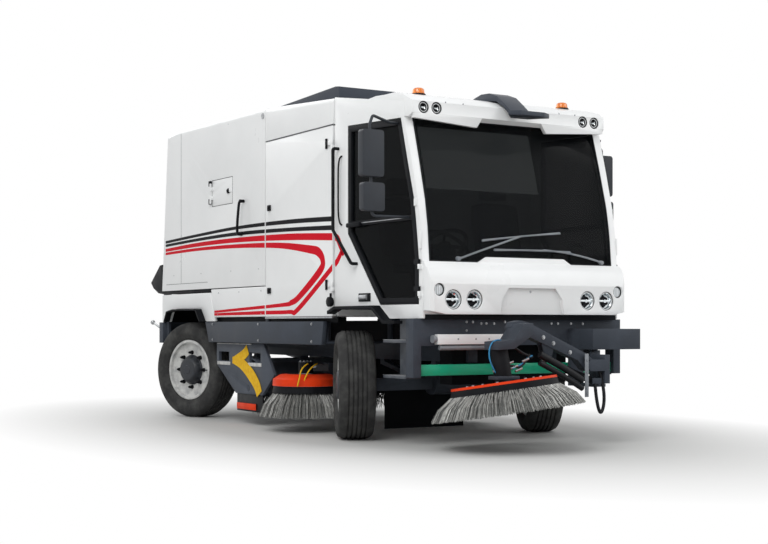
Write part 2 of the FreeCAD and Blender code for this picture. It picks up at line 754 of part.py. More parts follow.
def hatch():
    """The small inspection hatch in the hopper's right side, hung at its rear edge."""
    panel = block("hatch_panel", (rear_axle + hatch_start + door_gap, rear_axle + hatch_end - door_gap),
                  (-half_width, -half_width + hatch_skin),
                  (hatch_bottom + door_gap, hatch_top - door_gap))
    pieces = [panel]
    for name, low in (("low", hatch_bottom + 30 + hinge_length + 0.5),
                      ("high", hatch_top - 30 - hinge_length * 2 - 0.5)):
        pieces.append(rod(f"hatch_barrel_{name}", "Z", (hatch_axis_x, hatch_axis_y, low),
                          hinge_length, hinge_radius))
        pieces.append(block(f"hatch_leaf_{name}", (hatch_axis_x, hatch_axis_x + 24),
                            (-half_width - 8, -half_width - 1), (low, low + hinge_length)))
        pieces.append(block(f"hatch_plate_{name}", (hatch_axis_x + 20, hatch_axis_x + 54),
                            (-half_width - 8, -half_width + 2), (low, low + hinge_length)))
    latch = block("hatch_latch", (rear_axle + hatch_end - 60, rear_axle + hatch_end - 30),
                  (-half_width - 12, -half_width + 4),
                  ((hatch_bottom + hatch_top) / 2 - 16, (hatch_bottom + hatch_top) / 2 + 16))
    node("side_hatch", joined("hatch_body", pieces + [latch]))


def is_roof_edge(edge, height):
    """Whether an edge is one of the two that run along a side of the roof."""
    box = edge.BoundBox
    return (box.YLength < 1 and abs(abs(box.YMin) - half_width.value) < 1
            and box.ZMin > height and box.XLength > 500)


door_hinge_z = rear_door_top + 8
door_hinge_x = tail_face(rear_door_top.value) - hinge_stand_off
hatch_axis_x = rear_axle + hatch_start - 10
hatch_axis_y = -half_width - hinge_stand_off

hopper_base()
hopper()
hopper_door()
hatch()


# ---------------------------------------------------------------------------------------
# Engine bay between the hopper and the cab
# ---------------------------------------------------------------------------------------

bay_frame_half = size("bay_frame_half", 955)
bay_door_skin = size("bay_door_skin", 36)
bay_hinge_drop = size("bay_hinge_drop", 200)
engine_length = size("engine_length", 900)
engine_width = size("engine_width", 780)
engine_height = size("engine_height", 880)
bay_axis_x = housing_front + 2
bay_axis_y = half_width + hinge_stand_off


def engine_housing():
    """Bulkheads, floor and a roof whose sides come down to the door seam."""
    upper = prism("housing_upper", "XZ",
                  ((housing_rear, door_seam_height + door_gap), (housing_front, door_seam_height + door_gap),
                   (housing_front, housing_top_front), (housing_rear, hopper_top_front)),
                  -half_width, half_width)
    soft = rounded("housing_rounded", upper, roof_radius, lambda edge: is_roof_edge(edge, 2600))
    hollow_upper = prism("housing_hollow_upper", "XZ",
                         ((housing_rear + wall, door_seam_height), (housing_front - wall, door_seam_height),
                          (housing_front - wall, housing_top_front - wall),
                          (housing_rear + wall, hopper_top_front - wall)),
                         -side_plane, side_plane)
    roof = cut_from("housing_roof", soft, [hollow_upper])
    rear = block("bulkhead_rear", (housing_rear, housing_rear + wall),
                 (-bay_frame_half, bay_frame_half), (skirt_bottom, door_seam_height + 20))
    front = block("bulkhead_front", (housing_front - wall, housing_front),
                  (-bay_frame_half, bay_frame_half), (skirt_bottom, door_seam_height + 20))
    floor = block("housing_floor", (housing_rear, housing_front),
                  (-bay_frame_half, bay_frame_half), (skirt_bottom, skirt_bottom + 25))
    hinges = []
    for side_name, side in BOTH_SIDES:
        for level, low in (("low", skirt_bottom + bay_hinge_drop),
                           ("high", door_seam_height - bay_hinge_drop)):
            hinges.append(rod(f"bay_hinge_{side_name}_{level}", "Z",
                              (bay_axis_x, bay_axis_y * side, low), hinge_length, hinge_radius))
            near, far = bay_frame_half - 10, bay_axis_y
            low_y, high_y = (near, far) if side > 0 else (-far, -near)
            hinges.append(block(f"bay_hinge_leaf_{side_name}_{level}",
                                (housing_front - 4, housing_front + 8), (low_y, high_y),
                                (low, low + hinge_length)))
    node("engine_housing", joined("housing_body", [roof, rear, front, floor] + hinges))


def bay_door(side_name, side):
    """A full-height side door of the engine bay, hung at its front edge."""
    outer, inner = half_width, half_width - bay_door_skin
    low, high = (inner, outer) if side > 0 else (-outer, -inner)
    panel = block(f"bay_panel_{side_name}", (housing_rear + 2, housing_front - door_gap - 2),
                  (low, high), (skirt_bottom, door_seam_height - door_gap))
    pieces = [panel]
    for level, foot in (("low", skirt_bottom + bay_hinge_drop + hinge_length + 0.5),
                        ("high", door_seam_height - bay_hinge_drop + hinge_length + 0.5)):
        pieces.append(rod(f"bay_barrel_{side_name}_{level}", "Z",
                          (bay_axis_x, bay_axis_y * side, foot), hinge_length, hinge_radius))
        near, far = half_width - 4, bay_axis_y + 4
        low_y, high_y = (near, far) if side > 0 else (-far, -near)
        pieces.append(block(f"bay_leaf_{side_name}_{level}", (housing_front - 60, bay_axis_x - 4),
                            (low_y, high_y), (foot, foot + hinge_length)))
    for level, height in (("low", 1218), ("high", 1948)):
        near, far = half_width - 4, half_width + 14
        low_y, high_y = (near, far) if side > 0 else (-far, -near)
        pieces.append(block(f"bay_latch_{side_name}_{level}", (housing_rear + 60, housing_rear + 105),
                            (low_y, high_y), (to_size(height) - 22, to_size(height) + 22)))
    node(f"bay_door_{side_name}", joined(f"bay_door_body_{side_name}", pieces))


def engine():
    """The engine and its pumps, as one mass on the bay's floor."""
    middle = (housing_rear + housing_front) / 2
    node("engine_block", block("engine", (middle - engine_length / 2, middle + engine_length / 2),
                               (-engine_width / 2, engine_width / 2),
                               (skirt_bottom + 25, skirt_bottom + 25 + engine_height)))


def roof_fairing():
    """The air box that grows out of the bay's roof and drops to the cab."""
    body = prism("fairing", "XZ",
                 ((rear_axle + 1990, hopper_top_front - 9.9), (housing_front, housing_top_front + 0.3),
                  (housing_front, housing_top_front + 96), (housing_front - 60, housing_top_front + 104)),
                 -fairing_half, fairing_half)
    return body


fairing_half = size("fairing_half", 945)

engine_housing()
for door_side, door_sign in BOTH_SIDES:
    bay_door(door_side, door_sign)
engine()


# ---------------------------------------------------------------------------------------
# Cab
# ---------------------------------------------------------------------------------------

cab_wall = size("cab_wall", 42)
cab_rear_half = size("cab_rear_half", 990)
cab_taper = size("cab_taper", 3.13)
cab_roof_rear = size("cab_roof_rear", 2758)
brow_top = size("brow_top", 2680)
cab_roof_front = brow_top - 80
brow_length = size("brow_length", 730)
brow_start = cab_front - brow_length
screen_bottom = size("screen_bottom", 1388)
screen_top = brow_top - 194
screen_lean = size("screen_lean", 246)
screen_half = size("screen_half", 862)
screen_glass = size("screen_glass", 8)
door_frame_width = size("door_frame_width", 46)
cab_hinge_setback = size("cab_hinge_setback", 30)
cab_hinge_place = cab_front - cab_start - cab_hinge_setback
belt_bottom = size("belt_bottom", 1700)
belt_top = size("belt_top", 1738)
mirror_radius = size("mirror_radius", 24)
mirror_reach = size("mirror_reach", 398)
mirror_fold = size("mirror_fold", 362)
rail_seat_gap = size("rail_seat_gap", 1.1)
front_foot = front_axle + 585

# the screen's bowed face: (place behind the cab's nose, height) from its foot to its head
SCREEN_FACE = ((5, screen_bottom), (28, 1640), (64, 1850), (146, 2150), (screen_lean, screen_top))
# side door of the cab: (place ahead of the rear axle, height)
DOOR_CORNERS = ((cab_start + 192, screen_top + 19), (cab_front - 284, screen_top - 8),
                (cab_front - 195, 2150), (cab_front - 108, 1850), (cab_front - 74, 1620),
                (cab_front - 47, screen_bottom + 12), (cab_front - 47, 1070),
                (wheelbase + 480, 1070), (cab_start + 192, 1640))
screen_top_x = cab_nose - screen_lean


def screen_face(depth=0):
    """Corners of the screen's face, moved back by a depth."""
    return [(cab_nose - back - depth, to_size(height)) for back, height in SCREEN_FACE]


def half_at(ahead):
    """Half the cab's width at a place ahead of the rear axle: it narrows to the front."""
    return cab_rear_half - (rear_axle + ahead - cab_rear) * tangent(cab_taper)


def roof_at(ahead):
    """The height of the cab's roof at a place ahead of the rear axle."""
    run = screen_top_x - 10 - cab_rear
    return cab_roof_rear + (cab_roof_front - cab_roof_rear) * (rear_axle + ahead - cab_rear) / run


def on_side(item):
    """Turn a piece that is drawn along the X axis on to the cab's tapering right side."""
    item.Placement = Placement(Vector(), Rotation(Vector(0, 0, 1), 1))
    item.setExpression("Placement.Rotation.Angle", cab_taper.text)
    return move(item, cab_rear, -cab_rear_half, 0)


def door_outline(name, level):
    return outline(name, "XZ", [(to_size(ahead) - cab_start, to_size(up))
                                for ahead, up in DOOR_CORNERS], level)


def cab_plan(name, inwards, low, high, start, end):
    """A block with the cab's tapering plan, drawn in from its sides."""
    rear, front = half_at(start) - inwards, half_at(end) - inwards
    return prism(name, "XY", ((rear_axle + start, -rear), (rear_axle + end, -front),
                              (rear_axle + end, front), (rear_axle + start, rear)), low, high)


def cab_shell():
    """Floor, back wall, sides, pillars and roof, with the door and screen openings cut."""
    profile = [(cab_rear, cab_floor_bottom), (front_foot - 140, cab_floor_bottom),
               (front_foot, cab_well_bottom), (cab_nose, cab_well_bottom),
               (cab_nose, screen_bottom)] + screen_face()
    profile += [(screen_top_x - 10, cab_roof_front), (cab_rear, cab_roof_rear)]
    broad = thicken("cab_broad", "XZ", outline("cab_outline", "XZ", profile, -half_width),
                    half_width * 2)
    solid = shared("cab_solid", [broad, cab_plan("cab_outer_plan", 0, 900, 2900, cab_start,
                                              cab_front)])
    hollow = thicken("cab_broad_hollow", "XZ",
                     inset("cab_inset", outline("cab_inner_outline", "XZ", profile, -half_width),
                           cab_wall), half_width * 2)
    hollow = shared("cab_hollow", [hollow, cab_plan("cab_inner_plan", cab_wall, 900, 2900,
                                                    cab_start - 8, cab_front + 10)])
    door = on_side(thicken("cab_door_hole", "XZ", door_outline("cab_door_hole_outline", -5),
                           cab_wall + 15))
    screen = block("cab_screen_hole", (screen_top_x - 80, cab_nose + 50),
                   (-screen_half, screen_half), (screen_bottom, screen_top))
    shell = cut_from("cab_cut", solid, [hollow, door, mirrored("cab_door_hole_left", door), screen])
    hinges = []
    for level, low in (("low", 1130), ("high", 1330)):
        hinges.append(rod(f"cab_hinge_{level}", "Z", (cab_hinge_place, -hinge_stand_off, low),
                          hinge_length, hinge_radius))
        hinges.append(block(f"cab_hinge_leaf_{level}", (cab_hinge_place, cab_hinge_place + 22),
                            (-hinge_stand_off - 5, 6), (low, low + hinge_length)))
    side = on_side(joined("cab_hinges", hinges))
    node("cab_shell", joined("cab_body", [shell, side, mirrored("cab_hinges_left", side)]))


def windscreen():
    """The bowed front glass, flush in its opening."""
    node("windscreen", prism("screen", "XZ",
                             screen_face() + screen_face(screen_glass)[::-1],
                             -screen_half, screen_half))


def cab_doors():
    """A frame with a belt bar round two panes, hung at its front edge, on each side."""
    edge = inset("door_edge", door_outline("door_outline", 0), door_gap)
    solid = thicken("door_solid", "XZ", edge, cab_wall)
    inner = inset("door_inner", door_outline("door_inner_outline", -5),
                  door_gap + door_frame_width)
    ring = cut_from("door_ring", solid, [thicken("door_hole", "XZ", inner, cab_wall + 10)])
    belt_zone = block("belt_zone", (100, 1300), (0, cab_wall), (belt_bottom, belt_top))
    belt_source = thicken("belt_source", "XZ",
                          inset("belt_edge", door_outline("belt_outline", 0), door_gap + 10),
                          cab_wall)
    pieces = [ring, shared("belt", [belt_zone, belt_source])]
    for level, low in (("low", 1130), ("high", 1330)):
        low = low + hinge_length + 0.5
        pieces.append(rod(f"cab_barrel_{level}", "Z", (cab_hinge_place, -hinge_stand_off, low),
                          hinge_length, hinge_radius))
        pieces.append(block(f"cab_door_plate_{level}", (cab_hinge_place - 62, cab_hinge_place - 25),
                            (-hinge_stand_off - 5, 6), (low, low + hinge_length)))
        pieces.append(block(f"cab_door_tongue_{level}", (cab_hinge_place - 28, cab_hinge_place - 4),
                            (-hinge_stand_off - 5, -1), (low, low + hinge_length)))
    door = on_side(joined("cab_door_body", pieces))
    node("cab_door_right", door)
    node("cab_door_left", mirrored("cab_door_mirrored", door))
    pane = thicken("pane", "XZ",
                   inset("pane_edge", door_outline("pane_outline", 18),
                         door_gap + door_frame_width), 6)
    gap = block("pane_gap", (100, 1300), (0, cab_wall), (belt_bottom, belt_top))
    glass = on_side(cut_from("pane_cut", pane, [gap]))
    node("door_glass_right", glass)
    node("door_glass_left", mirrored("door_glass_mirrored", glass))


def mirror_set(side_name, top_bend, low_bend, tube, main, wide, reach):
    """Two mirror heads on a bent arm, drawn on the right: places run forward from the cab's front.

    top_bend and low_bend are (ahead, out) where the tube turns down and back in, tube is how far
    out its feet turn, main and wide are where each head starts, and reach is their outer edge.
    """
    def at(ahead, out, up):
        return (cab_front + ahead - cab_start, -to_size(out), up)
    pieces = [bent_rod(f"mirror_arm_{side_name}",
                       (at(-330, fit_gap, screen_top - 46), at(-330, 75, screen_top - 46),
                        at(top_bend[0] - 22, tube, screen_top - 16),
                        at(*top_bend, screen_top - 86), at(*low_bend, 1720), at(-180, 75, 1720),
                        at(-180, fit_gap, 1720)), 34, 11)]
    # (name, low and high ahead of the cab's front, low and high height)
    for name, x_low, depth, z_low, z_high in (("main", main, 65, 2010, screen_top - 131),
                                              ("wide", wide, 60, 1755, 1965)):
        start = cab_front + x_low - cab_start
        head = block(f"mirror_{name}_{side_name}", (start, start + depth), (-reach, -reach + 188),
                     (z_low, z_high))
        pieces.append(rounded(f"mirror_{name}_soft_{side_name}", head, mirror_radius,
                              lambda edge: edge.BoundBox.XLength > 40))
    return on_side(joined(f"mirror_set_{side_name}", pieces))


def mirrors():
    """The right mirrors stand out ahead of the door's glass; the left ones are swung back."""
    node("mirrors_right", mirror_set("right", (-238, 310), (-210, 310), 270, -260, -245,
                                     mirror_reach))
    drawn = mirror_set("left", (-598, 292), (-570, 292), 250, -622, -607,
                       mirror_reach - tangent(cab_taper) * mirror_fold)
    node("mirrors_left", mirrored("mirrors_mirrored", drawn))


def cab_front_panel():
    """The lower front panel with its lamp pockets and the recess between them."""
    bottom, top = cab_well_bottom + fascia_lift, screen_bottom
    body = prism("fascia_body", "XZ",
                 ((cab_nose, bottom), (nose + 5, bottom), (nose, 1220), (nose - 34, 1330),
                  (cab_nose + 18, top), (cab_nose, top)), -half_width, half_width)
    foot = half_at(cab_front)
    plan = prism("fascia_plan", "XY",
                 ((cab_nose, -foot), (nose - 55, -fascia_half), (nose - 14, -fascia_half + 12),
                  (nose + 10, -fascia_half + 50), (nose + 10, fascia_half - 50),
                  (nose - 14, fascia_half - 12), (nose - 55, fascia_half), (cab_nose, foot)),
                 bottom - 5, top + 5)
    crown = prism("fascia_crown", "YZ", ((-455, top - 8), (-368, top + 42), (368, top + 42),
                                         (455, top - 8)), cab_nose, cab_nose + 18)
    body = joined("fascia_crowned", [shared("fascia_shape", [body, plan]), crown])
    recess = prism("fascia_recess", "YZ", ((-300, bottom - 5), (300, bottom - 5), (285, 1110),
                                           (222, 1196), (-222, 1196), (-285, 1110)),
                   nose - 25, nose + 20)
    pockets = [rod(f"lamp_pocket_{name}_{side_name}", "X", (nose - 60, to_size(out) * side, height),
                   80, radius + fit_gap)
               for side_name, side in BOTH_SIDES for name, out, height, radius in FRONT_LAMPS]
    # the lower edge rises towards each side
    corner = prism("fascia_corner_cut", "YZ", ((-780, bottom - 1), (-half_width, bottom - 1),
                                               (-half_width, bottom + fascia_corner + 12)),
                   cab_nose - 1, nose + 20)
    corners = [corner, mirrored("fascia_corner_left", corner)]
    node("cab_fascia", cut_from("fascia_cut", body, [recess] + corners + pockets))
    lamps = [rod(f"lamp_{name}_{side_name}", "X", (nose - 60, to_size(out) * side, height),
                 56, radius)
             for side_name, side in BOTH_SIDES for name, out, height, radius in FRONT_LAMPS]
    for side_name, side in BOTH_SIDES:
        for name, out, height in WORK_LAMPS:
            lamps.append(rod(f"work_lamp_{name}_{side_name}", "X",
                             (visor_front - 40, to_size(out) * side, height), 42, 46))
    node("front_lamps", group("lamp_set", lamps))


def roof_visor():
    """The white brow over the windscreen, with a pocket for each work lamp."""
    brow = prism("brow", "XZ",
                 ((screen_top_x - 9.7, cab_roof_front + fit_gap),
                  (rear_axle + brow_start, roof_at(brow_start) + fit_gap),
                  (rear_axle + brow_start + 100, brow_top + 6), (cab_nose - 490, brow_top),
                  (cab_nose - 360, brow_top), (cab_nose - 250, brow_top - 32),
                  (visor_front, 2596), (visor_front, 2506), (visor_front - 40, 2478),
                  (screen_top_x + 1, screen_top)),
                 -half_width, half_width)
    plan = prism("brow_plan", "XY",
                 ((rear_axle + brow_start - 10, -half_at(brow_start) + 2),
                  (screen_top_x, -half_at(cab_front - screen_lean) + 2),
                  (visor_front + 5, -visor_half), (visor_front + 5, visor_half),
                  (screen_top_x, half_at(cab_front - screen_lean) - 2),
                  (rear_axle + brow_start - 10, half_at(brow_start) - 2)),
                 brow_top - 280, brow_top + 120)
    brow = shared("brow_shape", [brow, plan])
    lip_top = brow_top - 165
    lip = prism("brow_lip", "YZ", ((visor_half - 12, lip_top), (visor_half - 12, brow_top - 212),
                                   (332, brow_top - 250), (275, lip_top)), visor_front - 36, visor_front - 1)
    brow = joined("brow_lipped", [brow, lip, mirrored("brow_lip_right", lip)])
    pockets = [rod(f"work_pocket_{name}_{side_name}", "X",
                   (visor_front - 40 - fit_gap, to_size(out) * side, height), 60, 46 + fit_gap)
               for side_name, side in BOTH_SIDES
               for name, out, height in WORK_LAMPS]
    node("roof_visor", cut_from("brow_cut", brow, pockets))


def roof_trim():
    """A dark strap that runs forward over the brow, with a flat plate at its end."""
    # (ahead of the cab's nose, above the brow)
    upper = ((-630, 10), (-550, 46), (-450, 66), (-340, 60), (-230, 22), (-130, -52),
             (-30, -132))
    lower = ((-68, -140), (-158, -66), (-249.8, -14), (-360, fit_gap), (-490, fit_gap))
    sides = [(cab_nose + ahead, brow_top + rise) for ahead, rise in upper + lower]
    hollow = [(cab_nose + ahead, brow_top + rise) for ahead, rise in
              ((-500, 46), (-340, 42), (-240, 10), (-140, -68), (-140, -200), (-500, -40))]
    strap = cut_from("strap", prism("strap_body", "XZ", sides, -strap_half, strap_half),
                     [prism("strap_hollow", "XZ", hollow, -strap_half + 34, strap_half - 34)])
    plate = prism("crest_plate", "XY",
                  ((cab_nose - 66, -80), (cab_nose + 60, -194), (cab_nose + 110, -110),
                   (cab_nose + 110, 110), (cab_nose + 60, 194), (cab_nose - 66, 80)),
                  brow_top - 168, brow_top - 134)
    crest = joined("crest", [strap, plate])
    node("roof_trim", group("roof_trim_set", [crest, roof_fairing()]))


def beacons():
    """Amber beacons on the brow."""
    domes = []
    for side_name, side in BOTH_SIDES:
        dome = turned(f"beacon_{side_name}", "Z",
                      ((0, 0), (0, 58), (12, 58), (14, 50), (48, 44), (60, 28), (64, 0)))
        domes.append(move(dome, cab_nose - 425, 695 * side, beacon_foot))
    return domes


def cab_inside():
    """Seats, the dashboard with its column, and the steering wheel."""
    floor_top = cab_floor_bottom + cab_wall
    seats = []
    for side_name, side in BOTH_SIDES:
        low, high = (220, 700) if side > 0 else (-700, -220)
        seats.append(prism(f"seat_{side_name}", "XZ",
                           ((cab_rear + 192, floor_top), (cab_rear + 592, floor_top),
                            (cab_rear + 632, 1420), (cab_rear + 692, 1440),
                            (cab_rear + 692, 1540), (cab_rear + 292, 1520),
                            (cab_rear + 182, 2120), (cab_rear + 82, 2120),
                            (cab_rear + 152, 1420)), low, high))
    node("seats", group("seat_set", seats))
    dash = prism("dash", "XZ",
                 ((cab_nose - cab_wall - 120, cab_well_bottom + cab_wall),
                  (cab_nose - cab_wall, cab_well_bottom + cab_wall),
                  (cab_nose - cab_wall, screen_bottom - 62), (cab_nose - cab_wall - 200, 1400),
                  (cab_nose - cab_wall - 250, 1340)), -860, 860)
    column = bar("column", (cab_nose - 150, -460, 1180), (column_x, -460, column_z), 30)
    ring = formed("wheel_ring", Part.makeTorus(steering_ring.value, 15, Vector(0, 0, 0),
                                               Vector(0, 0, 1)))
    pad = rod("wheel_pad", "Z", (0, 0, -12), 24, 42)
    spokes = [bar(f"wheel_spoke_{index}", (0, 0, 0),
                  (steering_ring * math.cos(angle), steering_ring * math.sin(angle), 0), 10)
              for index, angle in enumerate((0.5, 2.64, 4.71))]
    wheel = joined("wheel_joined", [ring, pad] + spokes)
    wheel.Placement = Placement(Vector(), Rotation(Vector(0, 1, 0), -column_tilt.value))
    wheel.setExpression("Placement.Rotation.Angle", column_tilt.text)
    move(wheel, column_x - 11, -460, column_z + 13)
    node("dashboard", joined("dash_body", [dash, column, wheel]))


# (name, out from the middle, height)
WORK_LAMPS = (("inner", 700, brow_top - 129), ("outer", 816, brow_top - 130))
# (name, out from the middle, height, radius)
FRONT_LAMPS = (("outer", 722, 1105, 74), ("inner", 534, 1106, 74), ("small", 842, 1177, 47))
visor_front = cab_nose - 158
visor_half = size("visor_half", 915)
fascia_half = size("fascia_half", 932)
fascia_lift = size("fascia_lift", 30)
fascia_corner = size("fascia_corner", 28)
beacon_foot = brow_top + fit_gap
strap_half = size("strap_half", 92)
steering_ring = size("steering_ring", 205)
column_tilt = size("column_tilt", 40)
column_x = cab_nose - 420
column_z = size("column_z", 1510)

cab_shell()
windscreen()
cab_doors()
mirrors()
cab_front_panel()
roof_visor()
roof_trim()
cab_inside()


# ---------------------------------------------------------------------------------------
# Front frame, steps and rails
# ---------------------------------------------------------------------------------------

front_post_x = rail_front + 350
front_post_y = size("front_post_y", 520)
tool_box_reach = size("tool_box_reach", 930)
swing_low = size("swing_low", 467)
swing_high = size("swing_high", 722)


def front_frame():
    """The deep front beam with its end plates and the bracket of the front brush."""
    beam = block("front_beam", (rail_front, rail_front + 105), (-cab_half, cab_half), (762, 962))
    pieces = [beam]
    for side_name, side in BOTH_SIDES:
        near, far = (cab_half - 70, cab_half)
        low, high = (near, far) if side > 0 else (-far, -near)
        pieces.append(block(f"front_leg_{side_name}", (rail_front, rail_front + 105), (low, high),
                            (527, 770)))
    x, y = front_post_x, front_post_y
    pieces.append(block("arm_bracket", (rail_front + 100, x + 60), (y - 65, tool_box_reach),
                        (swing_high + 5, 887)))
    pieces.append(block("arm_back", (rail_front + 100, rail_front + 140), (y - 65, y + 60),
                        (swing_low - 27, swing_high + 10)))
    pieces.append(block("arm_foot", (rail_front + 100, x + 60), (y - 65, y + 60),
                        (swing_low - 27, swing_low - 5)))
    pieces.append(block("cross_bar", (rail_front + 30, rail_front + 70),
                        (-cab_half + 65, cab_half - 65), (540, 620)))
    bore = rod("post_bore", "Z", (x, y, swing_low - 30), swing_high - swing_low + 80,
               24 + kingpin_fit)
    node("front_frame", cut_from("front_frame_cut", joined("front_frame_body", pieces), [bore]))


def cab_steps():
    """Two treads on each side between the front wheel and the front frame."""
    treads = []
    for side_name, side in BOTH_SIDES:
        low, high = (850, 985) if side > 0 else (-985, -850)
        plates = [block(f"step_{name}_{side_name}", (front_foot - 8, rail_front - 0.3), (low, high),
                        (height, height + 22)) for name, height in (("low", 515), ("high", 782))]
        hanger_low, hanger_high = (850, 858) if side > 0 else (-858, -850)
        hanger = block(f"step_hanger_{side_name}", (front_foot + 30, rail_front - 40),
                       (hanger_low, hanger_high), (515, cab_well_bottom - 0.3))
        treads.append(joined(f"steps_{side_name}", plates + [hanger]))
    return treads


def grab_rails():
    """Bent rails beside the cab doors."""
    rails = []
    for side_name, side in BOTH_SIDES:
        top, foot = half_at(cab_start + 60) + rail_seat_gap, half_at(cab_start + 332)
        rails.append(bent_rod(f"grab_rail_{side_name}",
                              ((cab_rear + 60, top * side, 2335),
                               (cab_rear + 60, (top + 55) * side, 2335),
                               (cab_rear + 60, (top + 55) * side, 1680),
                               (cab_rear + 332, (foot + 55) * side, 1400),
                               (cab_rear + 332, (foot + rail_seat_gap) * side, 1400)), 18, 13))
    node("steps_and_rails", group("step_set", rails + cab_steps()))


def amber_lamps():
    """A lamp cluster at each rear corner and the beacons on the roof."""
    lamps = []
    for side_name, side in BOTH_SIDES:
        low, high = (770, 960) if side > 0 else (-960, -770)
        lamps.append(block(f"rear_cluster_{side_name}", (bumper_front - bumper_depth - 35,
                                                         bumper_front - bumper_depth),
                           (low, high), (790, 890)))
    node("amber_lamps", group("amber_lamp_set", lamps + beacons()))


front_frame()
grab_rails()
amber_lamps()


# ---------------------------------------------------------------------------------------
# Sweeping gear
# ---------------------------------------------------------------------------------------

roller_x = rear_axle + 1340
roller_radius = size("roller_radius", 232)
roller_height = size("roller_height", 336)
roller_half = size("roller_half", 850)
hood_radius = size("hood_radius", 262)
hood_skin = size("hood_skin", 14)
plate_outside = size("plate_outside", 930)
plate_skin = size("plate_skin", 28)
side_brush_out = size("side_brush_out", 820)
side_brush_ring = size("side_brush_ring", 280)
side_brush_tip = size("side_brush_tip", 420)


def brush_housing():
    """End plates with a round hood between them over the roller brush."""
    # (place ahead of the rear axle, height)
    plate = ((620, 745), (1660, 745), (1870, 470), (1630, 280), (1060, 280), (620, 545))
    ends = []
    for side_name, side in BOTH_SIDES:
        inside, outside = plate_outside - plate_skin, plate_outside
        low, high = (inside, outside) if side > 0 else (-outside, -inside)
        end = prism(f"end_plate_{side_name}", "XZ",
                    [(rear_axle + ahead, to_size(up)) for ahead, up in plate], low, high)
        bore = rod(f"end_bore_{side_name}", "Y", (roller_x, low - 5, roller_height),
                   plate_skin + 10, 30 + kingpin_fit)
        slots = [block(f"fork_slot_{name}_{side_name}", (rear_axle + start, rear_axle + start + 235),
                       (low - 5, high + 5), (576, 664))
                 for name, start in (("rear", 672), ("front", 1358))]
        ends.append(cut_from(f"end_bored_{side_name}", end, [bore] + slots))
    inside = plate_outside - plate_skin
    tube = rod("hood_tube", "Y", (roller_x, -inside - 5, roller_height), inside * 2 + 10,
               hood_radius + hood_skin)
    bore = rod("hood_bore", "Y", (roller_x, -inside - 10, roller_height), inside * 2 + 20,
               hood_radius)
    lower = block("hood_lower", (roller_x - 400, roller_x + 400), (-plate_outside, plate_outside),
                  (0, roller_height - 40))
    hood = cut_from("hood", tube, [bore, lower])
    hangers = [block(f"hood_hanger_{name}", (roller_x - 60, roller_x + 60), span,
                     (roller_height + hood_radius + 2, rail_bottom))
               for name, span in (("right", (-rail_outside, -rail_inside)),
                                  ("left", (rail_inside, rail_outside)))]
    node("brush_housing", joined("housing_joined", ends + [hood] + hangers))
    skirts = []
    for side_name, side in BOTH_SIDES:
        inside, outside = plate_outside - plate_skin, plate_outside - 8
        low, high = (inside, outside) if side > 0 else (-outside, -inside)
        skirts.append(block(f"skirt_flap_{side_name}", (rear_axle + 1070, rear_axle + 1620),
                            (low, high), (120, 280)))
    node("dust_skirts", group("dust_skirt_set", skirts))


def main_brush():
    """The transverse roller brush with its shaft."""
    shaft = rod("roller_shaft", "Y", (roller_x, -plate_outside + 2, roller_height),
                plate_outside * 2 - 4, 30)
    bristles = rod("roller_bristles", "Y", (roller_x, -roller_half, roller_height),
                   roller_half * 2, roller_radius)
    node("main_brush", joined("roller_body", [shaft, bristles]))


def side_brush(side_name, side):
    """A lifting sleeve, the arm that slides out of it with the motor and hood, and a brush."""
    def across(near, far):
        return (near, far) if side > 0 else (-to_size(far), -to_size(near))
    x = side_brush_x
    z = side_pivot_height
    low, high = across(side_pivot_side, 620)
    sleeve = block(f"sleeve_{side_name}", (x - 50, x + 50), (low, high), (z - 42, z + 42))
    bore = block(f"sleeve_bore_{side_name}", (x - 36, x + 36), across(side_pivot_side + 25, 640),
                 (z - 28, z + 28))
    boss = rod(f"sleeve_boss_{side_name}", "X", (x - 55, side_pivot_side * side, z), 110, 30)
    pin = rod(f"sleeve_pin_{side_name}", "X", (x - 95, side_pivot_side * side, z), 190, 16)
    sleeve = cut_from(f"sleeve_cut_{side_name}", joined(f"sleeve_body_{side_name}",
                                                        [sleeve, boss, pin]), [bore])
    node(f"side_sleeve_{side_name}", sleeve)
    centre = side_brush_out * side
    arm = block(f"side_slider_{side_name}", (x - 36 + fit_gap, x + 36 - fit_gap),
                across(side_pivot_side + 40, side_brush_out), (z - 28 + fit_gap, z + 28 - fit_gap))
    motor = rod(f"side_motor_{side_name}", "Z", (x, centre, 480), 120, 62)
    hood = turned(f"side_hood_{side_name}", "Z",
                  ((392, side_brush_ring - 6), (392, side_brush_ring + 6), (452, side_brush_ring + 2),
                   (488, side_brush_ring - 60), (492, 55), (476, 55), (474, side_brush_ring - 66),
                   (444, side_brush_ring - 10)))
    move(hood, x, centre, 0)
    node(f"side_arm_{side_name}", joined(f"side_arm_body_{side_name}", [arm, motor, hood]))
    brush = turned(f"side_brush_turned_{side_name}", "Z",
                   ((120, side_brush_tip - 130), (120, side_brush_tip), (330, side_brush_ring + 12),
                    (386, side_brush_ring - 14), (440, side_brush_ring - 20), (460, 120),
                    (479.7, 36), (479.7, 0), (440, 0), (440, 100), (400, 120), (380, 150)))
    node(f"side_brush_{side_name}", move(brush, x, centre, 0))


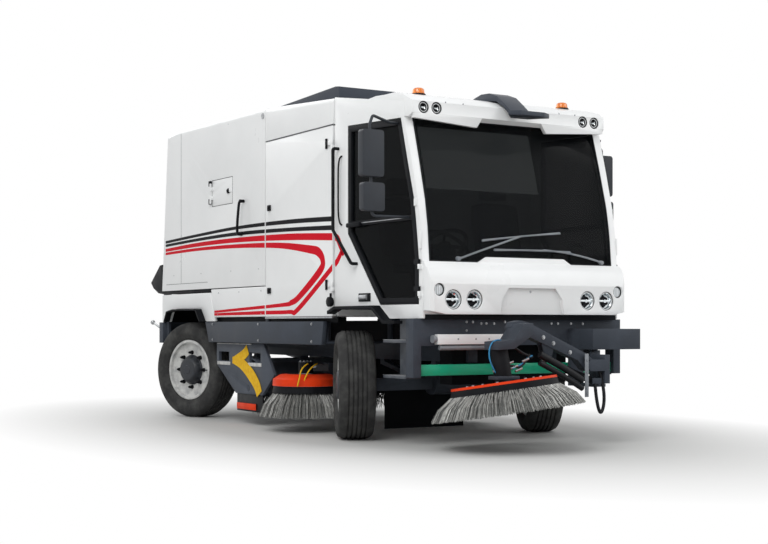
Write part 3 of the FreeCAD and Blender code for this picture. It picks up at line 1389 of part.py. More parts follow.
def front_brush():
    """A post that swings in its bracket, a lifting boom with its cylinder, and the brush."""
    x, y = front_post_x, front_post_y
    post = rod("swing_post", "Z", (x, y, swing_low), swing_high - swing_low, 42)
    pin = rod("swing_pin", "Z", (x, y, swing_low - 22), swing_high - swing_low + 60, 24)
    carrier = block("swing_carrier", (x, boom_x + 60), (y - 40, y + 10), (swing_low + 3, 690))
    pieces = [post, pin, carrier]
    for name, start, end in (("near", boom_x - 60, boom_x - 46), ("far", boom_x + 46, boom_x + 60)):
        pieces.append(block(f"swing_lug_{name}", (start, end), (boom_foot_y, y - 20),
                            (boom_foot_z - 44, boom_foot_z + 44)))
        pieces.append(rod(f"swing_eye_{name}", "X", (start, boom_foot_y, boom_foot_z),
                          end - start, 44))
        inner = (start + 20, start + 30) if name == "near" else (start - 16, start - 6)
        pieces.append(block(f"lift_lug_{name}", inner, (lift_foot_y - 22, y - 20),
                            (lift_foot_z - 22, lift_foot_z + 22)))
    pieces.append(rod("boom_pin", "X", (boom_x - 60, boom_foot_y, boom_foot_z), 120, 20))
    pieces.append(rod("lift_foot_pin", "X", (boom_x - 40, lift_foot_y, lift_foot_z), 80, 11))
    node("front_swing", joined("swing_body", pieces))

    beam = prism("boom_beam", "YZ",
                 ((boom_foot_y + 24, boom_foot_z - 36), (boom_foot_y + 24, boom_foot_z + 42),
                  (315, 700), (-235, 938), (-300, 950), (-366, 938), (-389, 900), (-374, 853),
                  (-235, 834), (236, 650), (310, 574)), boom_x - 40, boom_x + 40)
    boss = rod("boom_boss", "X", (boom_x - 40, boom_foot_y, boom_foot_z), 80, 46)
    head = prism("boom_head", "YZ",
                 ((-280, 846), (-280, 930), (-366, 925), (-450, 812), (-590, 796), (-590, 738),
                  (-450, 744)), boom_x - 10, front_brush_x + 60)
    motor = leaning_rod("boom_motor", (front_brush_x, front_brush_y, front_brush_z), brush_tilt,
                        270, 62, BRUSH_LEAN_LINE)
    motor_foot = leaning_rod("boom_motor_foot", (front_brush_x, front_brush_y, front_brush_z),
                             brush_tilt, 14.5, 90, BRUSH_LEAN_LINE)
    lugs = []
    for name, start in (("near", boom_x - 30), ("far", boom_x + 20)):
        lugs.append(prism(f"boom_lift_lug_{name}", "YZ",
                          ((lift_lug_y - 22, lift_lug_z - 22), (lift_lug_y + 22, lift_lug_z - 22),
                           (lift_lug_y + 60, 760), (lift_lug_y - 60, 790)), start, start + 10))
    lug_pin = rod("boom_lift_pin", "X", (boom_x - 30, lift_lug_y, lift_lug_z), 60, 9)
    solid = joined("boom_joined", [beam, boss, head, motor] + lugs + [lug_pin])
    bore = rod("boom_bore", "X", (boom_x - 45, boom_foot_y, boom_foot_z), 90, 20 + kingpin_fit)
    node("front_boom", cut_from("boom_cut", solid, [bore, motor_foot]))

    lean = lift_lean
    eye = rod("lift_foot_eye", "X", (boom_x - 20, lift_foot_y, lift_foot_z), 40, 24)
    sleeve = leaning_rod("lift_sleeve", (boom_x, lift_foot_y, lift_foot_z), lean,
                         lift_barrel_length, 25)
    hollow = leaning_rod("lift_hollow", (boom_x, lift_foot_y - 60 * sine(lean),
                                         lift_foot_z + 60 * cosine(lean)), lean,
                         lift_barrel_length, 14 + fit_gap)
    eye_hole = rod("lift_foot_hole", "X", (boom_x - 25, lift_foot_y, lift_foot_z), 50,
                   11 + kingpin_fit)
    node("lift_barrel", cut_from("lift_barrel_cut", joined("lift_barrel_body", [eye, sleeve]),
                                 [hollow, eye_hole]))
    shaft = leaning_rod("lift_shaft", (boom_x, lift_foot_y - 110 * sine(lean),
                                       lift_foot_z + 110 * cosine(lean)), lean,
                        lift_length - 110, 14)
    rod_eye = rod("lift_rod_eye", "X", (boom_x - 15, lift_lug_y, lift_lug_z), 30, 25)
    rod_hole = rod("lift_rod_hole", "X", (boom_x - 25, lift_lug_y, lift_lug_z), 50, 15)
    node("lift_rod", cut_from("lift_rod_cut", joined("lift_rod_body", [shaft, rod_eye]),
                              [rod_hole]))

    brush = turned("front_brush_turned", "Z",
                   ((-220, 365), (-220, 570), (-60, 398), (-30, 393), (14, 385), (14, 120),
                    (14, 0), (-12, 0), (-12, 112), (-60, 140)))
    brush.Placement = Placement(Vector(), Rotation(BRUSH_LEAN_LINE, 1))
    brush.setExpression("Placement.Rotation.Angle", brush_tilt.text)
    node("front_brush", move(brush, front_brush_x, front_brush_y, front_brush_z))


# the level line that the front brush leans about: its front edge stands up, its right edge down
BRUSH_LEAN_LINE = Vector(0.618, -0.786, 0)


def leaning_rod(name, start, lean, length, radius, line=Vector(1, 0, 0)):
    """A cylinder that leans from upright about a level line."""
    item = doc.addObject("Part::Cylinder", name)
    item.setExpression("Radius", to_size(radius).text)
    item.setExpression("Height", to_size(length).text)
    item.Placement = Placement(Vector(), Rotation(line, 1))
    item.setExpression("Placement.Rotation.Angle", lean.text)
    return move(item, *start)


boom_x = rail_front + 460
boom_foot_y = size("boom_foot_y", 360)
boom_foot_z = size("boom_foot_z", 610)
lift_foot_y = size("lift_foot_y", 400)
lift_foot_z = size("lift_foot_z", 490)
lift_lug_y = size("lift_lug_y", -40)
lift_lug_z = size("lift_lug_z", 660)
lift_barrel_length = size("lift_barrel_length", 330)
lift_lean = size("lift_lean", 68.875)
lift_length = size("lift_length", 471.7)
front_brush_x = rail_front + 568
front_brush_y = size("front_brush_y", -500)
front_brush_z = size("front_brush_z", 490)
brush_tilt = size("brush_tilt", 8.7)

brush_housing()
main_brush()
for brush_side, brush_sign in BOTH_SIDES:
    side_brush(brush_side, brush_sign)
front_brush()


# ---------------------------------------------------------------------------------------
# Checks and files
# ---------------------------------------------------------------------------------------

doc.recompute()
faults = [f"{item.Name}: {', '.join(item.State)}" for item in doc.Objects
          if "Invalid" in item.State or "Error" in item.State]
faults += [f"{name}: no valid shape" for name, item in nodes.items()
           if item.Shape.isNull() or not item.Shape.isValid() or not item.Shape.Solids]
if faults:
    raise RuntimeError("; ".join(faults))

os.makedirs("parts", exist_ok=True)
for name, item in nodes.items():
    item.Shape.exportStep(f"parts/{name}.step")
print(len(nodes), "sub-parts written")
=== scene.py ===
import json
import logging
import math
import random
from dataclasses import dataclass
from enum import Enum
from typing import Iterable, Sequence

import bmesh
import bpy
from mathutils import Matrix, Vector


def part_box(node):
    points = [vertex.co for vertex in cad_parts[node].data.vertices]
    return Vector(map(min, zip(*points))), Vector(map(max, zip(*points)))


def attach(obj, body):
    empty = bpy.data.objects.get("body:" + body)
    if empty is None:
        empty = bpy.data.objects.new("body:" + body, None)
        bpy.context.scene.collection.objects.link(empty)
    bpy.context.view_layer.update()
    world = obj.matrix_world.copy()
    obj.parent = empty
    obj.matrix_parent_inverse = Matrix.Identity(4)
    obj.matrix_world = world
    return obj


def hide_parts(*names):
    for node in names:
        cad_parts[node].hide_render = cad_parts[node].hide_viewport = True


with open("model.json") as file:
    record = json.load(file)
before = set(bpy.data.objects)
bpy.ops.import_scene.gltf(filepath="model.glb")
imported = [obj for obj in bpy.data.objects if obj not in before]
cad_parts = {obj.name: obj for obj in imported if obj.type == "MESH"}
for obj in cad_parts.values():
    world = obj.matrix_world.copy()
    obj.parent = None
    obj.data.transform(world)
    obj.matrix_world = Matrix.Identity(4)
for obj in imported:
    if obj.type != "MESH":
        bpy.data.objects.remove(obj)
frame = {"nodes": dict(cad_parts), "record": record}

"""Looks of a street sweeper truck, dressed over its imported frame.

Metres.  X points forward, Y to the vehicle's left and Z up from the ground.
"""

log = logging.getLogger("sweeper")
Point = Sequence[float]

SIDES: tuple[tuple[str, int], ...] = (("right", -1), ("left", 1))
BODY_HALF = 1.0  # half the width over the hopper, the engine bay and the skirts
TAPE = 0.0007  # thickness of a stripe
WELD = 0.00002  # vertices closer than this are one


# ---- Colours and finishes ----


class Shade(Enum):
    """Every colour of the vehicle, as sRGB hex values."""

    WHITE = "F1F2F2"
    WHITE_DULL = "DADCDC"
    CHASSIS = "3C4149"
    CHASSIS_PALE = "4E545E"
    BLACK = "141518"
    BLACK_DUSTY = "26282B"
    STRIPE_BLACK = "16171A"
    STRIPE_RED = "D60F26"
    GREEN = "10AA80"
    ORANGE = "EE4318"
    YELLOW = "F2C21B"
    TYRE = "3A3A3A"
    TYRE_DUSTY = "5E5E5C"
    SILVER = "D3D3D0"
    GLASS = "0B0D0F"
    SMOKE = "050607"
    LENS = "DDE3E6"
    AMBER = "F08A1C"
    AMBER_DEEP = "C85C08"
    STEEL = "A9ABAD"
    BRISTLE = "B4B4B0"
    BRISTLE_DARK = "5E5F5D"
    CLOTH = "2B2E33"
    CLOTH_LIGHT = "3C4148"
    ENGINE = "50555B"
    BLUE = "2F8FC4"
    RED_RUBBER = "A8322A"
    HUB = "24272C"
    FAIRING = "3A3F48"
    ARM = "8A8E93"
    SEAM = "5C5E60"
    MIRROR_GREY = "33363B"
    LAMP_RED = "B3161E"
    BEACON = "E8841A"
    BLIND = "9AA0A0"
    SKY = "F4F6F8"
    FLOOR = "C6C6C4"
    FLOOR_WORN = "C0C0BE"


def linear(shade: Shade, alpha: float = 1.0) -> tuple[float, float, float, float]:
    """Turn a shade into the linear colour that shaders take.

    Args:
        shade: the colour as sRGB hex.
        alpha: the fourth channel.

    Returns:
        Red, green, blue and alpha, linear.
    """
    channels = [int(shade.value[start:start + 2], 16) / 255 for start in (0, 2, 4)]
    red, green, blue = (
        part / 12.92 if part <= 0.04045 else ((part + 0.055) / 1.055) ** 2.4 for part in channels
    )
    return (red, green, blue, alpha)


def add_node(
    tree: bpy.types.NodeTree,
    kind: str,
    settings: dict[str, object] | None = None,
    values: dict[int | str, object] | None = None,
    links: dict[int | str, bpy.types.NodeSocket] | None = None,
) -> bpy.types.Node:
    """Add a shader node with its settings, socket values and incoming links.

    Args:
        tree: the material's node tree.
        kind: the node's type name.
        settings: attributes of the node itself.
        values: default values by input name or number.
        links: sockets that feed the inputs, by input name or number.

    Returns:
        The new node.
    """
    node = tree.nodes.new(kind)
    for name, value in (settings or {}).items():
        setattr(node, name, value)
    for name, value in (values or {}).items():
        node.inputs[name].default_value = value
    for name, socket in (links or {}).items():
        tree.links.new(socket, node.inputs[name])
    return node


@dataclass(frozen=True)
class Finish:
    """A surface finish: a base colour broken up by a second one, with its gloss and relief.

    Attributes:
        name: the material's name.
        base: the main colour.
        worn: the colour that breaks it up.
        patch: size in metres of the patches of the second colour.
        amount: how much of the second colour shows, from 0 to 1.
        rough: roughness of the smoothest places.
        rough_worn: roughness where the second colour shows.
        grain: size in metres of the relief's grain.
        relief: height of the relief, from 0 to 1.
        metallic: 1 for bare metal.
        coat: weight of a clear coat.
        shine: how much a surface facing the eye mirrors, 0.5 for common plastics.
        glow: light that the surface gives off: a lamp lens's own glow, and on the blind cloth a
            painted backlight.
    """

    name: str
    base: Shade
    worn: Shade
    patch: float = 0.25
    amount: float = 0.3
    rough: float = 0.3
    rough_worn: float = 0.5
    grain: float = 0.002
    relief: float = 0.1
    metallic: float = 0.0
    coat: float = 0.0
    shine: float = 0.4
    glow: float = 0.0

    def material(self) -> bpy.types.Material:
        """Build the material once, and hand out the same one after that.

        Returns:
            The material.
        """
        made = bpy.data.materials.get(self.name)
        if made:
            return made
        made = bpy.data.materials.new(self.name)
        made.use_nodes = True
        tree = made.node_tree
        shader = tree.nodes["Principled BSDF"]
        self.dress(tree, shader)
        return made

    def dress(self, tree: bpy.types.NodeTree, shader: bpy.types.Node) -> None:
        """Lay out the finish's nodes in front of its shader.

        Args:
            tree: the material's node tree.
            shader: its principled shader.
        """
        place = add_node(tree, "ShaderNodeTexCoord").outputs["Object"]
        patches = add_node(
            tree, "ShaderNodeTexNoise", values={"Scale": 1 / self.patch, "Detail": 5.0,
                                                "Roughness": 0.6}, links={"Vector": place})
        spread = add_node(
            tree, "ShaderNodeMapRange",
            values={"From Min": 0.42, "From Max": 0.78, "To Min": 0.0, "To Max": self.amount},
            links={"Value": patches.outputs[0]})
        gloss = add_node(
            tree, "ShaderNodeMapRange",
            values={"From Min": 0.3, "From Max": 0.75, "To Min": self.rough,
                    "To Max": self.rough_worn}, links={"Value": patches.outputs[0]})
        fine = add_node(
            tree, "ShaderNodeTexNoise", values={"Scale": 1 / self.grain, "Detail": 2.0},
            links={"Vector": place})
        self.lay(tree, shader, spread.outputs[0], fine.outputs[0], self.relief, self.grain / 4)
        tree.links.new(gloss.outputs[0], shader.inputs["Roughness"])
        for name, value in (("Metallic", self.metallic), ("Coat Weight", self.coat),
                            ("Coat Roughness", 0.08), ("Specular IOR Level", self.shine),
                            ("Emission Color", linear(self.base)),
                            ("Emission Strength", self.glow)):
            shader.inputs[name].default_value = value

    def lay(self, tree: bpy.types.NodeTree, shader: bpy.types.Node, share: bpy.types.NodeSocket,
            height: bpy.types.NodeSocket, strength: float, depth: float) -> None:
        """Mix the two colours and raise the relief on the shader.

        Args:
            tree: the material's node tree.
            shader: its principled shader.
            share: how much of the second colour shows, from place to place.
            height: the relief's height, from place to place.
            strength: the relief's strength.
            depth: its depth in metres.
        """
        colour = add_node(tree, "ShaderNodeMix", {"data_type": "RGBA"},
                          {6: linear(self.base), 7: linear(self.worn)}, {0: share})
        bump = add_node(tree, "ShaderNodeBump",
                        values={"Strength": strength, "Distance": depth}, links={"Height": height})
        tree.links.new(colour.outputs[2], shader.inputs["Base Color"])
        tree.links.new(bump.outputs[0], shader.inputs["Normal"])


@dataclass(frozen=True)
class Glazing(Finish):
    """Safety glass that shows what is behind it, with a plain gloss.

    Attributes:
        clearness: the share of the light that passes, from 0 to 1.
    """

    clearness: float = 0.25

    def dress(self, tree: bpy.types.NodeTree, shader: bpy.types.Node) -> None:
        """Let the skin be partly clear by its alpha, so that no light has to bend through it.

        Args:
            tree: the material's node tree.
            shader: its principled shader.
        """
        place = add_node(tree, "ShaderNodeTexCoord").outputs["Object"]
        film = add_node(
            tree, "ShaderNodeTexNoise", values={"Scale": 1 / self.patch, "Detail": 3.0},
            links={"Vector": place})
        gloss = add_node(
            tree, "ShaderNodeMapRange",
            values={"To Min": self.rough, "To Max": self.rough_worn},
            links={"Value": film.outputs[0]})
        tree.links.new(gloss.outputs[0], shader.inputs["Roughness"])
        for name, value in (("Base Color", linear(self.base)), ("IOR", 1.5),
                            ("Specular IOR Level", self.shine), ("Alpha", 1 - self.clearness)):
            shader.inputs[name].default_value = value


@dataclass(frozen=True)
class Lens(Finish):
    """Moulded lamp lens: fine flutes in a clear or tinted plastic with some glow of its own.

    Attributes:
        flute: width in metres of one flute.
    """

    flute: float = 0.008

    def dress(self, tree: bpy.types.NodeTree, shader: bpy.types.Node) -> None:
        """Lay flutes across the lens and let its colour pass from pale to deep.

        Args:
            tree: the material's node tree.
            shader: its principled shader.
        """
        place = add_node(tree, "ShaderNodeTexCoord").outputs["Object"]
        flutes = add_node(
            tree, "ShaderNodeTexWave", {"wave_type": "BANDS", "bands_direction": "Y"},
            {"Scale": 1 / self.flute / 6.28, "Distortion": 0.0}, {"Vector": place})
        self.lay(tree, shader, flutes.outputs["Fac"], flutes.outputs["Fac"], self.relief, 0.001)
        for name, value in (("Roughness", self.rough), ("Coat Weight", 0.6),
                            ("Emission Color", linear(self.base)),
                            ("Emission Strength", self.glow)):
            shader.inputs[name].default_value = value


@dataclass(frozen=True)
class Weave(Finish):
    """Woven seat cloth: two crossing thread directions and a soft sheen.

    Attributes:
        thread: spacing in metres of the threads.
    """

    thread: float = 0.004

    def dress(self, tree: bpy.types.NodeTree, shader: bpy.types.Node) -> None:
        """Cross two wave patterns for the threads, drawn coarser than real ones so they show.

        Args:
            tree: the material's node tree.
            shader: its principled shader.
        """
        place = add_node(tree, "ShaderNodeTexCoord").outputs["Object"]
        warp, weft = (
            add_node(tree, "ShaderNodeTexWave", {"bands_direction": way},
                     {"Scale": 1 / self.thread / 6.28}, {"Vector": place}) for way in "YZ")
        both = add_node(
            tree, "ShaderNodeMath", {"operation": "MULTIPLY"},
            links={0: warp.outputs["Fac"], 1: weft.outputs["Fac"]})
        self.lay(tree, shader, both.outputs[0], both.outputs[0], 0.4, 0.001)
        shader.inputs["Roughness"].default_value = 0.9
        shader.inputs["Sheen Weight"].default_value = 0.3


# Columns: name, colour, worn colour; patch, amount, rough, rough_worn, grain, relief

# Two-pack enamel over pressed steel and GRP: glossy white with a faint orange peel and road film
WHITE_ENAMEL = Finish(
    "white_enamel", Shade.WHITE, Shade.WHITE_DULL, 0.9, 0.35, 0.26, 0.4, 0.012, 0.03, coat=0.15)
# Chassis paint: satin blue-grey that dulls and pales where dust lies
CHASSIS_PAINT = Finish("chassis_paint", Shade.CHASSIS, Shade.CHASSIS_PALE,
                       0.3, 0.7, 0.42, 0.62, 0.004, 0.12, shine=0.14)
CHASSIS_PALE_PAINT = Finish("housing_paint", Shade.CHASSIS_PALE, Shade.CHASSIS,
                            0.3, 0.6, 0.45, 0.62, 0.004, 0.12, shine=0.2)
ARM_PAINT = Finish("arm_paint", Shade.ARM, Shade.CHASSIS_PALE, 0.15, 0.7, 0.4, 0.6, 0.004, 0.12)
STEP_PAINT = Finish("step_paint", Shade.CHASSIS, Shade.ARM, 0.15, 0.5, 0.35, 0.6, 0.004, 0.15)
# Sprayed enamel on small steel parts: a plain satin colour, duller where hands and stones reach
ORANGE_ENAMEL = Finish(
    "orange_enamel", Shade.ORANGE, Shade.RED_RUBBER, 0.15, 0.4, 0.35, 0.5, 0.004, 0.06, shine=0.1)
GREEN_ENAMEL = Finish(
    "green_enamel", Shade.GREEN, Shade.CHASSIS, 0.2, 0.25, 0.3, 0.5, 0.004, 0.06, coat=0.2)
RIM_ENAMEL = Finish(
    "rim_enamel", Shade.SILVER, Shade.CHASSIS_PALE, 0.08, 0.6, 0.34, 0.5, 0.003, 0.1)
HUB_PAINT = Finish("hub_paint", Shade.HUB, Shade.CHASSIS, 0.05, 0.5, 0.35, 0.6, 0.003, 0.1)
# Cast iron under brushed paint: dull and coarse
ENGINE_PAINT = Finish(
    "cast_engine_paint", Shade.ENGINE, Shade.BLACK_DUSTY, 0.1, 0.8, 0.5, 0.8, 0.004, 0.3)
# Grained ABS and moulded trim: matt black or dark grey with a leather-like grain
BLACK_TRIM = Finish("grained_black_plastic", Shade.BLACK, Shade.BLACK_DUSTY,
                    0.2, 0.7, 0.42, 0.65, 0.003, 0.3, shine=0.08)
FLARE_PLASTIC = Finish(
    "flare_plastic", Shade.BLACK, Shade.BLACK_DUSTY, 0.4, 0.5, 0.5, 0.7, 0.003, 0.2, shine=0.06)
FAIRING_PLASTIC = Finish(
    "fairing_paint", Shade.FAIRING, Shade.CHASSIS, 0.5, 0.4, 0.35, 0.5, 0.004, 0.05, shine=0.2)
MIRROR_PLASTIC = Finish("mirror_plastic", Shade.MIRROR_GREY, Shade.CHASSIS,
                        0.2, 0.4, 0.35, 0.55, 0.003, 0.15, shine=0.2)
# Rubber: near black, grey with dust on a tyre's wall, smoother on a hose
TYRE_RUBBER = Finish(
    "tyre_rubber", Shade.TYRE, Shade.TYRE_DUSTY, 0.12, 0.8, 0.65, 0.85, 0.003, 0.35, shine=0.06)
HOSE_RUBBER = Finish(
    "hose_rubber", Shade.BLACK, Shade.BLACK_DUSTY, 0.05, 0.6, 0.4, 0.6, 0.002, 0.3, shine=0.2)
BLUE_HOSE = Finish("blue_hose", Shade.BLUE, Shade.CHASSIS, 0.05, 0.3, 0.35, 0.5, 0.002, 0.1)
SEAM_SHADE = Finish("seam_sealer", Shade.SEAM, Shade.CHASSIS, 0.3, 0.4, 0.6, 0.8, 0.003, 0.1)
# Cut vinyl: an even colour with hardly any relief or mirror
RED_VINYL = Finish(
    "red_vinyl", Shade.STRIPE_RED, Shade.STRIPE_RED, 0.5, 0.1, 0.35, 0.45, 0.004, 0.02, shine=0.03)
BLACK_VINYL = Finish("black_vinyl", Shade.STRIPE_BLACK, Shade.STRIPE_BLACK,
                     0.5, 0.1, 0.35, 0.45, 0.004, 0.02, shine=0.03)
# Polyester webbing and blind cloth: no gloss, with a coarse thread; the blind glows, a painted
# backlight
YELLOW_WEB = Finish(
    "yellow_webbing", Shade.YELLOW, Shade.AMBER_DEEP, 0.03, 0.4, 0.7, 0.9, 0.002, 0.5)
BLIND_CLOTH_PAINTED_GLOW = Finish(
    "blind_cloth_painted_glow", Shade.BLIND, Shade.CHASSIS, 0.2, 0.3, 0.8, 0.9, 0.003, 0.3, glow=0.8)
# Bare metal: zinc plate that is clouded, and the bright films of a lamp's bowl and of a mirror
STEEL_PLATE = Finish("zinc_plated_steel", Shade.STEEL, Shade.CHASSIS_PALE,
                     0.04, 0.5, 0.3, 0.5, 0.002, 0.1, metallic=0.9)
REFLECTOR = Finish(
    "lamp_reflector", Shade.LENS, Shade.STEEL, 0.05, 0.4, 0.08, 0.2, 0.01, 0.1, metallic=1.0)
MIRROR_SILVER = Finish(
    "mirror_silver", Shade.LENS, Shade.STEEL, 0.3, 0.1, 0.03, 0.06, 0.01, 0.0, metallic=1.0)
# Brush bristle: flat steel wire mixed with dark polymer
BRISTLE = Finish("wire_bristle", Shade.BRISTLE, Shade.BRISTLE_DARK,
                 0.03, 0.9, 0.4, 0.7, 0.002, 0.1, metallic=0.3)
BRISTLE_STEEL = Finish(
    "dark_bristle", Shade.BRISTLE_DARK, Shade.BLACK_DUSTY, 0.03, 0.6, 0.5, 0.7, 0.002, 0.1)
# Rolled floor paint: pale, dull and even; grey near the truck, a painted shade round it
FLOOR_PAINT_AND_SHADE = Finish("floor_paint_and_painted_shade", Shade.FLOOR, Shade.FLOOR_WORN, 2.0, 0.4, 0.7, 0.8, 0.01, 0.02)
# Glass: a dark tint on the cab, clear on the lamps' rims
SCREEN_GLASS = Glazing("tinted_glass", Shade.GLASS, Shade.SMOKE, patch=0.6, rough=0.02,
                       rough_worn=0.05, shine=0.03, clearness=0.24)
LAMP_GLASS = Glazing("lamp_glass", Shade.LENS, Shade.LENS, patch=0.2, rough=0.03,
                     rough_worn=0.06, clearness=0.93)
# Moulded acrylic lenses: saturated, with fine flutes
CLEAR_LENS = Lens("clear_lamp_lens", Shade.LENS, Shade.STEEL, rough=0.08, relief=0.15, glow=0.08)
AMBER_LENS = Lens("amber_lamp_lens", Shade.AMBER, Shade.AMBER_DEEP, rough=0.15, relief=0.4,
                  glow=0.15)
RED_LENS = Lens("red_lamp_lens", Shade.LAMP_RED, Shade.RED_RUBBER, rough=0.15, relief=0.4,
                glow=0.1)
BEACON_LENS = Lens("beacon_lens", Shade.BEACON, Shade.AMBER_DEEP, rough=0.12, relief=0.5,
                   glow=0.12)
# Woven polyester: two greys crossed
SEAT_CLOTH = Weave("woven_seat_cloth", Shade.CLOTH, Shade.CLOTH_LIGHT)


# ---- Modelling tools ----


def node_middle(node: str) -> Vector:
    """The middle of a CAD node's box at rest."""
    low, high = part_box(node)
    return (Vector(low) + Vector(high)) / 2


def rear_axle_place() -> float:
    """The rear axle's place along X, midway between its two tyres."""
    return (node_middle("tyre_rear_right").x + node_middle("tyre_rear_left").x) / 2


REAR_AXLE = rear_axle_place()


def ahead(distance: float) -> float:
    """A place along X from its distance ahead of the rear axle."""
    return REAR_AXLE + distance


def at(along: float, out: float, up: float) -> Vector:
    """A place from its distance ahead of the rear axle, its place along Y and its height."""
    return Vector((ahead(along), out, up))


def body_of(node: str) -> str:
    """The CAD body that a node belongs to."""
    bodies = frame["record"]["behaviour"]["bodies"]
    return next(name for name, members in bodies.items() if node in members)


def joint_named(name: str) -> dict:
    """A joint of the frame by its name."""
    return next(joint for joint in frame["record"]["behaviour"]["joints"]
                if joint["name"] == name)


def smooth_line(stations: Sequence[tuple[Vector, float]],
                steps: int = 6) -> list[tuple[Vector, float]]:
    """Pass a smooth line through stations, with a value that eases from one to the next.

    Args:
        stations: places with a value each.
        steps: how many parts each span is cut into.

    Returns:
        The finer list of places and values.
    """
    line = []
    for span in range(len(stations) - 1):
        around = [stations[min(max(span + step, 0), len(stations) - 1)] for step in (-1, 0, 1, 2)]
        first, start, end, last = (place for place, _ in around)
        for step in range(steps):
            part = step / steps
            place = 0.5 * (2 * start + (end - first) * part
                           + (2 * first - 5 * start + 4 * end - last) * part ** 2
                           + (3 * start - first - 3 * end + last) * part ** 3)
            line.append((place, around[1][1] * (1 - part) + around[2][1] * part))
    line.append((stations[-1][0].copy(), stations[-1][1]))
    return line


class Form:
    """A piece in the making: one bmesh that operators add to and shape."""

    def __init__(self) -> None:
        """Start with an empty mesh."""
        self.mesh = bmesh.new()

    def soften(self, verts: Iterable[bmesh.types.BMVert], width: float, segments: int = 2,
               angle: float = 20.0) -> None:
        """Bevel the sharp edges among some vertices.

        Args:
            verts: the vertices whose edges may be bevelled.
            width: the bevel's width.
            segments: its steps.
            angle: edges flatter than this many degrees are left alone.
        """
        chosen = set(verts)
        edges = [
            edge for edge in self.mesh.edges
            if edge.verts[0] in chosen and edge.verts[1] in chosen and len(edge.link_faces) == 2
            and edge.calc_face_angle(0.0) > math.radians(angle)
        ]
        bmesh.ops.bevel(self.mesh, geom=edges, offset=width, offset_type="OFFSET",
                        segments=segments, profile=0.5, affect="EDGES", clamp_overlap=True,
                        material=-1)

    def block(self, one: Point, other: Point, bevel: float = 0.0, segments: int = 2) -> None:
        """Add a box with its edges rounded.

        Args:
            one: a corner.
            other: the opposite corner.
            bevel: width of the rounding.
            segments: its steps.
        """
        low, high = (Vector([pick(pair) for pair in zip(one, other)]) for pick in (min, max))
        size = high - low
        made = bmesh.ops.create_cube(
            self.mesh, size=1.0,
            matrix=Matrix.Translation((low + high) / 2) @ Matrix.Diagonal((*size, 1.0)))
        if bevel:
            self.soften(made["verts"], bevel, segments)

    def rod(self, start: Point, end: Point, radius: float, tip: float | None = None,
            sides: int = 20, bevel: float = 0.0) -> None:
        """Add a round rod or cone.

        Args:
            start: the middle of its first end.
            end: the middle of its other end.
            radius: its radius.
            tip: the radius at the other end, where it differs.
            sides: how many sides stand for the round.
            bevel: width of the rounding on its rims.
        """
        start, end = Vector(start), Vector(end)
        run = end - start
        turn = run.to_track_quat("Z", "Y").to_matrix().to_4x4()
        made = bmesh.ops.create_cone(
            self.mesh, cap_ends=True, segments=sides, radius1=radius,
            radius2=radius if tip is None else tip, depth=run.length,
            matrix=Matrix.Translation((start + end) / 2) @ turn)
        if bevel:
            self.soften(made["verts"], bevel, 2, 50.0)

    def ball(self, centre: Point, radius: float, scale: Point = (1, 1, 1), sides: int = 20) -> None:
        """Add a ball, stretched along each axis.

        Args:
            centre: its middle.
            radius: its radius.
            scale: how much each axis is stretched.
            sides: how many sides stand for the round.
        """
        bmesh.ops.create_uvsphere(
            self.mesh, u_segments=sides, v_segments=max(6, sides // 2), radius=radius,
            matrix=Matrix.Translation(Vector(centre)) @ Matrix.Diagonal((*scale, 1.0)))

    def lathe(self, profile: Sequence[tuple[float, float]], centre: Point, axis: Point,
              sides: int = 64) -> None:
        """Spin a closed profile of (place along the axis, radius) about an axis.

        Args:
            profile: the corners, in order round the section.
            centre: where the axis starts.
            axis: its direction.
            sides: steps of the full turn.
        """
        centre, axis = Vector(centre), Vector(axis).normalized()
        across = axis.orthogonal().normalized()
        verts = [self.mesh.verts.new(centre + axis * along + across * radius)
                 for along, radius in profile]
        edges = [self.mesh.edges.new(pair) for pair in zip(verts, verts[1:])]
        bmesh.ops.spin(self.mesh, geom=verts + edges, cent=centre, axis=axis, dvec=(0, 0, 0),
                       angle=math.tau, steps=sides, use_merge=True)

    def plate(self, corners: Sequence[Point], push: Point, bevel: float = 0.0,
              segments: int = 2) -> None:
        """Add a flat plate from its corners, pushed out to its thickness.

        Args:
            corners: the outline's corners, in order.
            push: the vector from the outline to its far side.
            bevel: width of the rounding on its edges.
            segments: the rounding's steps.
        """
        verts = [self.mesh.verts.new(Vector(corner)) for corner in corners]
        far = self.push([self.mesh.faces.new(verts)], Vector(push))
        if bevel:
            self.soften(verts + far, bevel, segments)

    def push(self, faces: Sequence[bmesh.types.BMFace], way: Vector) -> list[bmesh.types.BMVert]:
        """Give faces a thickness.

        Args:
            faces: the faces, which stay as the near side.
            way: the vector to the far side.

        Returns:
            The far side's vertices.
        """
        pushed = bmesh.ops.extrude_face_region(self.mesh, geom=faces, use_keep_orig=True)
        far = [item for item in pushed["geom"] if isinstance(item, bmesh.types.BMVert)]
        bmesh.ops.translate(self.mesh, verts=far, vec=way)
        return far

    def sheet(self, rims: Sequence[Sequence[Vector]], way: Vector) -> None:
        """Span a sheet between two rims and push it to its thickness.

        Args:
            rims: two lines of as many places.
            way: the vector to the far side.
        """
        edges = []
        for rim in rims:
            verts = [self.mesh.verts.new(place) for place in rim]
            edges += [self.mesh.edges.new(pair) for pair in zip(verts, verts[1:])]
        self.push(bmesh.ops.bridge_loops(self.mesh, edges=edges)["faces"], way)

